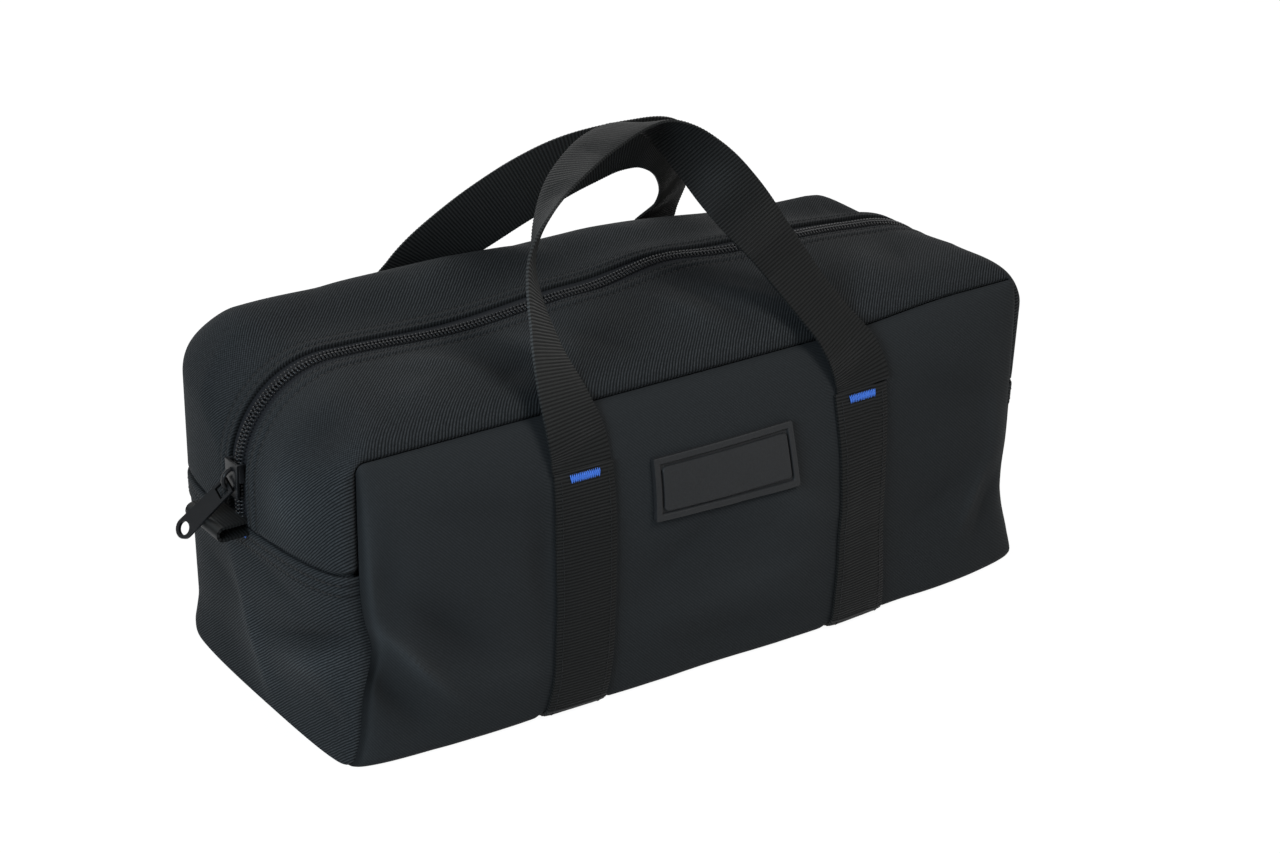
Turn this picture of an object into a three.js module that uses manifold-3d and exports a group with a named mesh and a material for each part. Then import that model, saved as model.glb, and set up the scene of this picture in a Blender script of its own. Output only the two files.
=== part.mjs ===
// Utility tote bag: a zipped cloth holdall with webbing handles.
// Millimetres, +Z up. The origin is the middle of the base, +X runs along the bag,
// -Y is the front with the patch, and -X is the end where the closed slider sits.

import * as THREE from 'three';
import { mergeVertices } from 'three/addons/utils/BufferGeometryUtils.js';
import Module from 'manifold-3d';

const wasm = await Module();
wasm.setup();

// Cloth body
const LENGTH = 306; // between the two end seams
const WIDTH = 128; // between the front and rear seams
const SEAM_HEIGHT = 122; // from the floor to the top seams
const CLOTH = 1.2; // backed cloth
const GAP = 0.3; // between neighbouring pieces
const BELLY = 16; // swell of the front and rear past their seams
const BELLY_HEIGHT = 58; // height of the fullest line
const BELLY_DROP = 6; // how far below the floor the belly's curve would close
const BOTTOM_ROUND = 10; // radius of the bottom edges
const END_SWELL = 13; // swell of each end past its seams, at the zipper
const END_SWELL_LOW = 3; // the same at the floor
const CROWN = 14; // rise of the top above its seams
const SEAM_CORNER = 10; // corner radius at the seams
const CROWN_CORNER = 41; // corner radius along the zipper
const SWELL_POWER = 3; // fullness of the swell across the bag, 2 is an ellipse
const FLAP_INSET = 4; // from the corner's bend to where the top opens

// Zipper
const COIL_WIDTH = 3.2; // one half of the chain
const COIL_HEIGHT = 2;
const TAPE = 0.6;
const TAPE_TUCK = 7; // tape hidden under the folded cloth edge
const CHAIN_TAIL = 9; // chain that shows below the closed slider
const SLIDER_LENGTH = 14;
const SLIDER_PLATE = 1.2;
const SLIDER_LIP = 1.2; // wall of each side lip
const LIP_DEPTH = 1.8; // how far the lips reach down past the plate
const LIP_CLEARANCE = 1.8; // from the lip to the folded cloth edge
const BRIDGE_LENGTH = 10;
const BRIDGE_WIDTH = 2;
const BRIDGE_BAR = 1.4;
const BRIDGE_WINDOW = 2.8; // clear height under the bridge
const PULL_LENGTH = 30;
const PULL_WIDTH = 8;
const PULL = 1.4; // thickness of the pull tab and of its root bar
const PULL_SLOT_LENGTH = 5.4;
const PULL_SLOT_WIDTH = 4.8;
const PULL_EYE = 5.2; // hole at the tab's free end
const PULL_YAW = 30; // degrees that the loose tab is turned on its bridge

// Webbing
const WEBBING_WIDTH = 25.4;
const WEBBING = 1.6;
const STRAP_SPACING = 130; // between the middles of the two straps
const STRAP_TOP = 101; // where the straps end and the handles hang free
const BED_RAMP = 3; // slope beside the strap's bed under the bottom
const HANDLE_RISE = 124; // from the strap's end to the top of the loop, along the webbing
const HANDLE_LEAN = 35.5; // degrees that the loops lean in over the top
const TAB_LENGTH = 11; // end tab past the cloth
const TAB_SHIFT = 6; // end tab's middle, off the zipper line

// Stitching, patch and binding
const TACK_LENGTH = 14;
const TACK_HEIGHT = 3;
const TACK = 0.6;
const TACK_DROP = 3.6; // from the strap's end to the tack's middle
const TAB_TACK_LENGTH = 6;
const TAB_TACK_HEIGHT = 1.6;
const TAB_TACK_DROP = 3; // below the end panel's folded edge
const PATCH_LENGTH = 65;
const PATCH_HEIGHT = 24.5;
const PATCH = 2;
const PATCH_MIDDLE = 87; // height of the patch's middle
const PATCH_ASIDE = -1.5; // the patch's middle, along from the bag's middle
const BINDING = 1;
const BINDING_WIDTH = 8;
const BINDING_FOOT = 16; // height where the binding starts

// Shape of a handle loop: how far along from one strap to the other (-1 to 1), how far up
// the loop (0 to 1), how far the webbing has turned in degrees, and how much of its width
// is left where the weave is pulled askew. At 90 degrees its outer face looks into the loop.
const FRONT_LOOP = [
  [-1, 0, 0, 1],
  [-1, 0.1, 0, 1],
  [-1.01, 0.24, 3, 1],
  [-1, 0.41, 31, 1],
  [-0.945, 0.62, 52, 1],
  [-0.8, 0.75, 80, 1],
  [-0.55, 0.87, 107, 0.97],
  [-0.26, 0.945, 118, 0.95],
  [-0.02, 0.98, 114, 0.93],
  [0.13, 0.968, 98, 0.92],
  [0.24, 0.915, 82, 0.9],
  [0.345, 0.82, 62, 0.82],
  [0.455, 0.69, 32, 0.8],
  [0.59, 0.53, 0, 0.82],
  [0.77, 0.32, -13, 0.88],
  [0.93, 0.16, -8, 0.94],
  [1, 0.07, 0, 1],
  [1, 0, 0, 1],
];
const REAR_LOOP = [
  [-1, 0, 0, 1],
  [-1, 0.1, 0, 1],
  [-0.95, 0.19, 3, 1],
  [-0.83, 0.29, 10, 1],
  [-0.66, 0.41, 18, 1],
  [-0.46, 0.53, 18, 1],
  [-0.26, 0.635, 15, 1],
  [-0.05, 0.705, 12, 1],
  [0.18, 0.75, 12, 1],
  [0.42, 0.77, 14, 1],
  [0.63, 0.76, 18, 1],
  [0.81, 0.685, 24, 1],
  [0.95, 0.55, 30, 1],
  [1.03, 0.38, 22, 1],
  [1.02, 0.2, 6, 1],
  [1, 0.08, 0, 1],
  [1, 0, 0, 1],
];

// Mesh fineness
const WALL_STEPS_UP = 7;
const WALL_STEPS_DOWN = 4;
const EDGE_STEPS = 4;
const BOTTOM_STEPS = 2;
const STATION_STEP = 22;
const ACROSS_STEPS = 9;
const PANEL_STEPS = 6;
const CORNER_STEPS = 7;
const FLAP_STEPS = 8;
const HANDLE_STEPS = 44;
const ROUND_STEPS = 5;
const EYE_STEPS = 10;
const PAD_STEPS_ALONG = 6;
const PAD_STEPS_UP = 4;

// Places that follow from the sizes
const halfLength = LENGTH / 2;
const halfWidth = WIDTH / 2;
const cornerHeight = SEAM_HEIGHT + CROWN - CROWN_CORNER;
const cornerMiddle = halfLength + END_SWELL - CROWN_CORNER;
const flapHalf = cornerMiddle - FLAP_INSET;
const zipEdge = COIL_WIDTH + GAP + SLIDER_LIP + LIP_CLEARANCE;
const tabThickness = 2 * WEBBING;
const foldHeight = cornerHeight - SLIDER_LENGTH / 2 - CHAIN_TAIL - tabThickness - 2 * GAP;
const strapMiddle = STRAP_SPACING / 2;
const coilTop = COIL_HEIGHT - CLOTH;

// Finishes
function finish(color, roughness, metalness = 0) {
  return new THREE.MeshStandardMaterial({ color, roughness, metalness });
}
const clothFinish = () => finish(0x25282c, 0.85);
const webbingFinish = () => finish(0x1d1d1e, 0.8);
const tapeFinish = () => finish(0x1b1c1e, 0.85);
const coilFinish = () => finish(0x141415, 0.5);
const threadFinish = () => finish(0x3d6be0, 0.7);
const rubberFinish = () => finish(0x222325, 0.6);
const metalFinish = () => finish(0x161617, 0.35, 0.6);
const bindingFinish = () => finish(0x202122, 0.85);

const bag = new THREE.Group();

function addPiece(name, geometry, material) {
  const mesh = new THREE.Mesh(geometry, material);
  mesh.name = name;
  bag.add(mesh);
}

// Closed geometry from triangles, with its faces turned outwards
function closedGeometry(points, triangles) {
  let volume = 0;
  for (const [a, b, c] of triangles) {
    volume += points[a].dot(new THREE.Vector3().crossVectors(points[b], points[c]));
  }
  const index = triangles.flatMap(([a, b, c]) => (volume > 0 ? [a, b, c] : [a, c, b]));
  const geometry = new THREE.BufferGeometry();
  const places = points.flatMap((p) => p.toArray());
  geometry.setAttribute('position', new THREE.Float32BufferAttribute(places, 3));
  geometry.setIndex(index);
  geometry.computeVertexNormals();
  return geometry;
}

// A sheet between two grids of points, one for each face
function sheet(face, back) {
  const rows = face.length;
  const columns = face[0].length;
  const points = [...face.flat(), ...back.flat()];
  const triangles = [];
  const quad = (a, b, c, d) => triangles.push([a, b, c], [a, c, d]);
  const front = (i, j) => i * columns + j;
  const rear = (i, j) => rows * columns + i * columns + j;
  for (let i = 0; i + 1 < rows; i += 1) {
    for (let j = 0; j + 1 < columns; j += 1) {
      quad(front(i, j), front(i, j + 1), front(i + 1, j + 1), front(i + 1, j));
      quad(rear(i, j), rear(i + 1, j), rear(i + 1, j + 1), rear(i, j + 1));
    }
    quad(front(i, 0), front(i + 1, 0), rear(i + 1, 0), rear(i, 0));
    quad(front(i + 1, columns - 1), front(i, columns - 1), rear(i, columns - 1), rear(i + 1, columns - 1));
  }
  for (let j = 0; j + 1 < columns; j += 1) {
    quad(front(0, j + 1), front(0, j), rear(0, j), rear(0, j + 1));
    quad(front(rows - 1, j), front(rows - 1, j + 1), rear(rows - 1, j + 1), rear(rows - 1, j));
  }
  return closedGeometry(points, triangles);
}

function steps(count, from = 0, to = 1) {
  return Array.from({ length: count + 1 }, (_, k) => from + ((to - from) * k) / count);
}

// Front and rear walls: a belly that dies out at the seams
function seamTop(x) {
  const past = Math.max(0, Math.abs(x) - (halfLength - SEAM_CORNER));
  const reach = Math.min(past, SEAM_CORNER - GAP);
  return SEAM_HEIGHT - SEAM_CORNER + Math.sqrt((SEAM_CORNER - GAP) ** 2 - reach ** 2);
}

function bellyAlong(x) {
  const share = Math.min(1, Math.abs(x) / halfLength);
  return (1 - share ** SWELL_POWER) ** (1 / SWELL_POWER);
}

function wallOut(x, z) {
  const span = z > BELLY_HEIGHT ? seamTop(x) - BELLY_HEIGHT : BELLY_HEIGHT + BELLY_DROP;
  const share = Math.min(1, Math.abs(z - BELLY_HEIGHT) / span);
  return halfWidth + BELLY * bellyAlong(x) * Math.sqrt(1 - share ** 2);
}

// Under the bottom each strap lies in a bed, so that cloth and webbing share the floor
function bedDepth(x) {
  const past = Math.abs(Math.abs(x) - strapMiddle) - (WEBBING_WIDTH / 2 + GAP);
  const share = Math.min(1, Math.max(0, 1 - past / BED_RAMP));
  return (WEBBING + GAP) * share;
}

// Half of the wrap's outline at one station, from a height on the wall to the bottom's middle
function halfOutline(x, top) {
  const bed = bedDepth(x);
  const climb = seamTop(x) - BELLY_HEIGHT;
  const start = Math.asin(Math.min(1, (top - BELLY_HEIGHT) / climb));
  const heights = [
    ...steps(WALL_STEPS_UP, start, 0).map((angle) => BELLY_HEIGHT + climb * Math.sin(angle)),
    ...steps(WALL_STEPS_DOWN, BELLY_HEIGHT, BOTTOM_ROUND).slice(1),
  ];
  const foot = wallOut(x, BOTTOM_ROUND);
  const turns = steps(EDGE_STEPS, 0, Math.PI / 2).slice(1);
  return [
    ...heights.map((z) => [wallOut(x, z), z]),
    ...turns.map((turn) => [
      foot - BOTTOM_ROUND * (1 - Math.cos(turn)),
      BOTTOM_ROUND - (BOTTOM_ROUND - bed) * Math.sin(turn),
    ]),
    ...steps(BOTTOM_STEPS, foot - BOTTOM_ROUND, 0).slice(1).map((y) => [y, bed]),
  ];
}

// Whole outline, front top to rear top, moved out along its normals
function wrapOutline(x, top, lift) {
  const half = halfOutline(x, top);
  const outline = [...half.map(([y, z]) => [-y, z]), ...half.slice(0, -1).reverse()];
  return outline.map(([y, z], k) => {
    const [y0, z0] = outline[Math.max(0, k - 1)];
    const [y1, z1] = outline[Math.min(outline.length - 1, k + 1)];
    const size = Math.hypot(y1 - y0, z1 - z0);
    return new THREE.Vector3(x, y + (lift * (z1 - z0)) / size, z - (lift * (y1 - y0)) / size);
  });
}

function bodyStations() {
  const bend = steps(ROUND_STEPS, 0, Math.PI / 2).map((turn) => (SEAM_CORNER - GAP) * Math.sin(turn));
  const bed = WEBBING_WIDTH / 2 + GAP;
  const needed = [0];
  needed.push(strapMiddle - bed - BED_RAMP, strapMiddle - bed);
  needed.push(strapMiddle + bed, strapMiddle + bed + BED_RAMP);
  needed.push(...bend.map((past) => halfLength - SEAM_CORNER + past));
  needed.sort((a, b) => a - b);
  const stations = [];
  for (let k = 0; k + 1 < needed.length; k += 1) {
    const count = Math.max(1, Math.ceil((needed[k + 1] - needed[k]) / STATION_STEP));
    stations.push(...steps(count, needed[k], needed[k + 1]).slice(0, -1));
  }
  stations.push(needed[needed.length - 1]);
  return [...stations.slice(1).reverse().map((x) => -x), ...stations];
}

const stations = bodyStations();
addPiece(
  'body_panel',
  sheet(
    stations.map((x) => wrapOutline(x, seamTop(x), 0)),
    stations.map((x) => wrapOutline(x, seamTop(x), -CLOTH)),
  ),
  clothFinish(),
);

// Gusset that closes the ends and the top. across runs from -1 at the front seam to 1 at
// the rear seam, and depth is measured inwards from the outer face.
function swell(across) {
  return Math.max(0, 1 - Math.abs(across) ** SWELL_POWER) ** (1 / SWELL_POWER);
}

function endReach(z) {
  const share = Math.min(1, Math.max(0, z / foldHeight));
  return END_SWELL_LOW + (END_SWELL - END_SWELL_LOW) * Math.sin((share * Math.PI) / 2);
}

function endHalfWidth(z) {
  const drop = Math.max(0, BOTTOM_ROUND - z);
  return halfWidth - BOTTOM_ROUND + Math.sqrt(BOTTOM_ROUND ** 2 - drop ** 2);
}

// Outward direction where the face swells by reach over the half width, as shares along Y
// and along the swell
function faceNormal(across, reach, half) {
  const sideways = (Math.sign(across) * Math.abs(across) ** (SWELL_POWER - 1)) / half;
  const outwards = swell(across) ** (SWELL_POWER - 1) / reach;
  const size = Math.hypot(sideways, outwards);
  return [sideways / size, outwards / size];
}

function endPoint(side, z, across, depth) {
  const half = endHalfWidth(z);
  const [sideways, outwards] = faceNormal(across, endReach(z), half);
  const x = halfLength + endReach(z) * swell(across) - depth * outwards;
  return new THREE.Vector3(side * x, across * half - depth * sideways, z);
}

function cornerRadius(across) {
  return SEAM_CORNER + (CROWN_CORNER - SEAM_CORNER) * swell(across);
}

function cornerFoot(across) {
  return SEAM_HEIGHT + CROWN * swell(across) - cornerRadius(across);
}

function cornerPoint(side, turn, across, depth) {
  const c = Math.cos(turn);
  const s = Math.sin(turn);
  const reach = END_SWELL * c + CROWN * s - (CROWN_CORNER - SEAM_CORNER) * (c + s - 1);
  const [sideways, outwards] = faceNormal(across, Math.max(CLOTH, reach), halfWidth);
  const radius = cornerRadius(across);
  const x = halfLength + END_SWELL * swell(across) - radius + (radius - depth * outwards) * c;
  const z = cornerFoot(across) + (radius - depth * outwards) * s;
  return new THREE.Vector3(side * x, across * halfWidth - depth * sideways, z);
}

function topPoint(x, across, depth) {
  const [sideways, outwards] = faceNormal(across, CROWN, halfWidth);
  const z = SEAM_HEIGHT + CROWN * swell(across) - depth * outwards;
  return new THREE.Vector3(x, across * halfWidth - depth * sideways, z);
}

// Rows of the gusset from a height on one end, round the corner and on to where the top opens
function endRows(side, foot) {
  const split = flapHalf + GAP / 2;
  const cornerStart = (across) => halfLength + END_SWELL * swell(across) - cornerRadius(across);
  return [
    (across, depth) => endPoint(side, foot, across, depth),
    (across, depth) => endPoint(side, (foot + cornerFoot(across)) / 2, across, depth),
    ...steps(CORNER_STEPS, 0, Math.PI / 2).map(
      (turn) => (across, depth) => cornerPoint(side, turn, across, depth),
    ),
    (across, depth) => topPoint((side * (cornerStart(across) + split)) / 2, across, depth),
    (across, depth) => topPoint(side * split, across, depth),
  ];
}

function flapRows() {
  const reach = flapHalf - GAP / 2;
  return steps(FLAP_STEPS, -reach, reach).map((x) => (across, depth) => topPoint(x, across, depth));
}

function panelRows(side, heights) {
  return heights.map((z) => (across, depth) => endPoint(side, z, across, depth));
}

function gussetSheet(rows, places, outer, inner) {
  const grid = (depth) => rows.map((row) => places.map((across) => row(across, depth)));
  return sheet(grid(outer), grid(inner));
}

// Cloth from the zipper's folded edge to a seam, closer steps where it turns down into the seam
function clothPlaces(face) {
  const edge = zipEdge / halfWidth;
  return steps(ACROSS_STEPS, 0, Math.PI / 2).map((turn) => face * (edge + (1 - edge) * Math.sin(turn)));
}

function stripPlaces(face, near, far) {
  return [near, far].map((y) => (face * y) / halfWidth);
}

const sides = [['left', -1], ['right', 1]];
const faces = [['front', -1], ['rear', 1]];
const tapeFace = CLOTH + GAP;
const tapeReach = zipEdge + TAPE_TUCK;
const upperFoot = foldHeight + GAP;
const coilFoot = upperFoot + tabThickness + GAP;

for (const [faceName, face] of faces) {
  const tape = stripPlaces(face, GAP, tapeReach);
  const coil = stripPlaces(face, GAP / 2, COIL_WIDTH);
  const parts = [['top', flapRows(), flapRows()]];
  for (const [sideName, side] of sides) {
    parts.push([`${sideName}_end`, endRows(side, upperFoot), endRows(side, coilFoot)]);
  }
  for (const [partName, clothRows, coilRows] of parts) {
    const cloth = partName === 'top' ? `${faceName}_top_flap` : `${partName}_upper_${faceName}`;
    addPiece(cloth, gussetSheet(clothRows, clothPlaces(face), 0, CLOTH), clothFinish());
    const tapeName = `${faceName}_zip_tape_${partName}`;
    addPiece(tapeName, gussetSheet(clothRows, tape, tapeFace, tapeFace + TAPE), tapeFinish());
    const coilName = `${faceName}_zip_coil_${partName}`;
    addPiece(coilName, gussetSheet(coilRows, coil, -coilTop, CLOTH), coilFinish());
  }
}

// Lower end panels, up to the folded edge that covers the gusset's ends
const panelPlaces = steps(2 * ACROSS_STEPS, -Math.PI / 2, Math.PI / 2).map(Math.sin);
const panelHeights = [
  ...steps(EDGE_STEPS, 0, Math.PI / 2).map((turn) => BOTTOM_ROUND * (1 - Math.cos(turn))),
  ...steps(PANEL_STEPS, BOTTOM_ROUND, foldHeight).slice(1),
];
for (const [name, side] of sides) {
  const panel = gussetSheet(panelRows(side, panelHeights), panelPlaces, 0, CLOTH);
  addPiece(`${name}_end_panel`, panel, clothFinish());
}

// Straps: webbing sewn on from the front tacks, under the bottom, to the rear tacks
for (const [name, side] of sides) {
  const across = steps(2, side * strapMiddle - WEBBING_WIDTH / 2, side * strapMiddle + WEBBING_WIDTH / 2);
  addPiece(
    `${name}_strap`,
    sheet(
      across.map((x) => wrapOutline(x, STRAP_TOP, GAP + WEBBING)),
      across.map((x) => wrapOutline(x, STRAP_TOP, GAP)),
    ),
    webbingFinish(),
  );
}

// A pad that follows the front or rear wall, at a given lift from the cloth
function wallNormal(x, z) {
  const slopeX = (wallOut(x + GAP, z) - wallOut(x - GAP, z)) / (2 * GAP);
  const slopeZ = (wallOut(x, z + GAP) - wallOut(x, z - GAP)) / (2 * GAP);
  return new THREE.Vector3(-slopeX, 1, -slopeZ).normalize();
}

function wallPoint(face, x, z, lift) {
  const normal = wallNormal(x, z).multiplyScalar(lift);
  return new THREE.Vector3(x + normal.x, face * (wallOut(x, z) + normal.y), z + normal.z);
}

function wallPad(face, middle, length, height, lift, thickness) {
  const [x0, z0] = middle;
  const across = steps(PAD_STEPS_ALONG, x0 - length / 2, x0 + length / 2);
  const up = steps(PAD_STEPS_UP, z0 - height / 2, z0 + height / 2);
  const grid = (out) => across.map((x) => up.map((z) => wallPoint(face, x, z, out)));
  return sheet(grid(lift + thickness), grid(lift));
}

for (const [faceName, face] of faces) {
  for (const [sideName, side] of sides) {
    const middle = [side * strapMiddle, STRAP_TOP - TACK_DROP];
    const tack = wallPad(face, middle, TACK_LENGTH, TACK_HEIGHT, GAP + WEBBING + GAP, TACK);
    addPiece(`${faceName}_${sideName}_bartack`, tack, threadFinish());
  }
}
addPiece(
  'rubber_patch',
  wallPad(-1, [PATCH_ASIDE, PATCH_MIDDLE], PATCH_LENGTH, PATCH_HEIGHT, GAP, PATCH),
  rubberFinish(),
);

// Handles: the free loops. Each leg goes on from its strap along the wall, as far as the
// seam, and then leans in over the top. A loop swings about the strap's outer top edge.
const strapNormal = wallNormal(strapMiddle, STRAP_TOP);
const legLean = Math.atan2(strapNormal.z, strapNormal.y);
const rootOut = wallOut(strapMiddle, STRAP_TOP) + (GAP + WEBBING / 2) * strapNormal.y;
const rootHeight = STRAP_TOP + (GAP + WEBBING / 2) * strapNormal.z + GAP;
const legRise = SEAM_HEIGHT - STRAP_TOP;
const loopLean = THREE.MathUtils.degToRad(HANDLE_LEAN);

function loopPoint(along, rise) {
  const leg = Math.min(rise, legRise);
  const loop = rise - leg;
  const inwards = leg * Math.sin(legLean) + loop * Math.sin(loopLean);
  const upwards = leg * Math.cos(legLean) + loop * Math.cos(loopLean);
  return new THREE.Vector3(along, inwards - rootOut, rootHeight + upwards);
}

function handle(loop, face) {
  const points = loop.map(([along, up]) => loopPoint(along * strapMiddle, up * HANDLE_RISE));
  const route = new THREE.CatmullRomCurve3(points, false, 'centripetal');
  const outer = [];
  const inner = [];
  for (const share of steps(HANDLE_STEPS)) {
    const place = share * (loop.length - 1);
    const k = Math.min(loop.length - 2, Math.floor(place));
    const between = (column) => THREE.MathUtils.lerp(loop[k][column], loop[k + 1][column], place - k);
    const turn = THREE.MathUtils.degToRad(between(2));
    const half = (WEBBING_WIDTH / 2) * between(3);
    const middle = route.getPoint(share);
    const tangent = route.getTangent(share);
    const lean = middle.z < SEAM_HEIGHT ? legLean : loopLean;
    const outwards = new THREE.Vector3(0, -Math.cos(lean), Math.sin(lean));
    const inside = new THREE.Vector3().crossVectors(tangent, outwards).normalize();
    outwards.crossVectors(inside, tangent).normalize();
    const normal = outwards.multiplyScalar(Math.cos(turn)).addScaledVector(inside, Math.sin(turn));
    const width = new THREE.Vector3().crossVectors(tangent, normal).multiplyScalar(half);
    normal.multiplyScalar(WEBBING / 2);
    const edges = [middle.clone().sub(width), middle.clone(), middle.clone().add(width)];
    outer.push(edges.map((p) => p.clone().add(normal)));
    inner.push(edges.map((p) => p.clone().sub(normal)));
  }
  for (const p of [...outer.flat(), ...inner.flat()]) p.y *= -face;
  return sheet(outer, inner);
}

addPiece('front_handle', handle(FRONT_LOOP, -1), webbingFinish());
addPiece('rear_handle', handle(REAR_LOOP, 1), webbingFinish());

// Seam bindings: tape over the seam allowances, inside the front and rear seams
function bindingRoute(inset) {
  const radius = Math.max(GAP, SEAM_CORNER - inset);
  const reach = halfLength - inset;
  const top = SEAM_HEIGHT - inset;
  const turns = steps(ROUND_STEPS, 0, Math.PI / 2);
  const right = turns.map((turn) => [
    reach - radius + radius * Math.cos(turn),
    top - radius + radius * Math.sin(turn),
  ]);
  right.unshift([reach, BINDING_FOOT]);
  return [...right.map(([x, z]) => [-x, z]), ...right.reverse()];
}

for (const [name, face] of faces) {
  const near = halfWidth - CLOTH - GAP;
  const routes = [bindingRoute(CLOTH + GAP), bindingRoute(CLOTH + GAP + BINDING_WIDTH)];
  const grid = (y) => routes.map((route) => route.map(([x, z]) => new THREE.Vector3(x, face * y, z)));
  addPiece(`${name}_seam_binding`, sheet(grid(near), grid(near - BINDING)), bindingFinish());
}

// End tabs: a short loop of webbing at each zipper end, on the end panel's folded edge
for (const [name, side] of sides) {
  const root = halfLength + END_SWELL + GAP;
  const radius = tabThickness / 2;
  const outline = new THREE.Shape();
  outline.moveTo(root, upperFoot);
  outline.lineTo(root + TAB_LENGTH - radius, upperFoot);
  outline.absarc(root + TAB_LENGTH - radius, upperFoot + radius, radius, -Math.PI / 2, Math.PI / 2);
  outline.lineTo(root, upperFoot + tabThickness);
  const tab = new THREE.ExtrudeGeometry(outline, {
    depth: WEBBING_WIDTH,
    bevelEnabled: false,
    curveSegments: ROUND_STEPS,
  });
  tab.rotateX(Math.PI / 2);
  tab.translate(0, WEBBING_WIDTH / 2, 0);
  if (side < 0) tab.rotateZ(Math.PI);
  tab.translate(0, -side * TAB_SHIFT, 0);
  addPiece(`${name}_end_tab`, tab, webbingFinish());
  const tackTop = foldHeight - TAB_TACK_DROP + TAB_TACK_HEIGHT / 2;
  const rows = panelRows(side, [tackTop - TAB_TACK_HEIGHT, tackTop]);
  const places = steps(2, -TAB_TACK_LENGTH / 2, TAB_TACK_LENGTH / 2).map((y) => y / halfWidth);
  addPiece(`${name}_tab_bartack`, gussetSheet(rows, places, -GAP - TACK, -GAP), threadFinish());
}

// Joining and cutting of closed solids
function toSolid(geometry) {
  const bare = geometry.clone();
  bare.deleteAttribute('normal');
  bare.deleteAttribute('uv');
  const merged = mergeVertices(bare);
  return new wasm.Manifold(
    new wasm.Mesh({
      numProp: 3,
      vertProperties: Float32Array.from(merged.attributes.position.array),
      triVerts: Uint32Array.from(merged.index.array),
    }),
  );
}

function fromSolid(solid) {
  const { vertProperties, triVerts } = solid.getMesh();
  const geometry = new THREE.BufferGeometry();
  geometry.setAttribute('position', new THREE.Float32BufferAttribute(vertProperties, 3));
  geometry.setIndex(Array.from(triVerts));
  geometry.computeVertexNormals();
  return geometry;
}

// Slider at the closed end, over the chain where the corner's bend begins. Its body is drawn
// across, outwards and along the chain, and the bridge stands on its plate.
const sliderFoot = halfLength + END_SWELL + coilTop + GAP;
const lipInner = COIL_WIDTH + GAP;
const lipOuter = lipInner + SLIDER_LIP;

function sliderBody() {
  const section = new THREE.Shape();
  section.moveTo(-lipOuter, -LIP_DEPTH);
  section.lineTo(-lipInner, -LIP_DEPTH);
  section.lineTo(-lipInner, 0);
  section.lineTo(lipInner, 0);
  section.lineTo(lipInner, -LIP_DEPTH);
  section.lineTo(lipOuter, -LIP_DEPTH);
  section.lineTo(lipOuter, SLIDER_PLATE / 2);
  section.lineTo(lipInner, SLIDER_PLATE);
  section.lineTo(-lipInner, SLIDER_PLATE);
  section.lineTo(-lipOuter, SLIDER_PLATE / 2);
  const body = new THREE.ExtrudeGeometry(section, { depth: SLIDER_LENGTH, bevelEnabled: false });
  body.translate(0, 0, -SLIDER_LENGTH / 2);
  return body;
}

function bridge() {
  const reach = BRIDGE_LENGTH / 2;
  const rise = SLIDER_PLATE + BRIDGE_WINDOW;
  const seat = SLIDER_PLATE / 2;
  const outline = new THREE.Shape();
  outline.moveTo(-reach, seat);
  outline.lineTo(-reach + BRIDGE_BAR, seat);
  outline.lineTo(-reach + BRIDGE_BAR, rise);
  outline.lineTo(reach - BRIDGE_BAR, rise);
  outline.lineTo(reach - BRIDGE_BAR, seat);
  outline.lineTo(reach, seat);
  outline.lineTo(reach, rise);
  outline.lineTo(reach - BRIDGE_BAR, rise + BRIDGE_BAR);
  outline.lineTo(-reach + BRIDGE_BAR, rise + BRIDGE_BAR);
  outline.lineTo(-reach, rise);
  const arch = new THREE.ExtrudeGeometry(outline, { depth: BRIDGE_WIDTH, bevelEnabled: false });
  arch.translate(0, 0, -BRIDGE_WIDTH / 2);
  arch.rotateY(-Math.PI / 2);
  return arch;
}

const sliderPlace = new THREE.Matrix4()
  .makeBasis(new THREE.Vector3(0, 1, 0), new THREE.Vector3(-1, 0, 0), new THREE.Vector3(0, 0, 1))
  .setPosition(-sliderFoot, 0, cornerHeight);
const slider = fromSolid(toSolid(sliderBody()).add(toSolid(bridge())));
slider.applyMatrix4(sliderPlace);
addPiece('zip_slider', slider, metalFinish());

// Pull tab: its root bar lies under the bridge, and the tab hangs on the end tab's edge
const pivotOut = sliderFoot + SLIDER_PLATE + BRIDGE_WINDOW / 2;
const pivotHeight = cornerHeight - BRIDGE_LENGTH / 2 + BRIDGE_BAR + PULL + GAP;
const yaw = THREE.MathUtils.degToRad(PULL_YAW);
const tabEdge = halfLength + END_SWELL + GAP + TAB_LENGTH;
const tabTop = upperFoot + tabThickness;
const lowEdge = (PULL_WIDTH / 2) * Math.sin(yaw);
const dropToTab = (pivotHeight - lowEdge - tabTop) / Math.cos(yaw);
const outToTab = tabEdge - pivotOut;
const tabDistance = Math.hypot(dropToTab, outToTab);
const pullLean = Math.atan2(outToTab, dropToTab) + Math.asin((PULL / 2 + GAP) / tabDistance);

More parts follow.
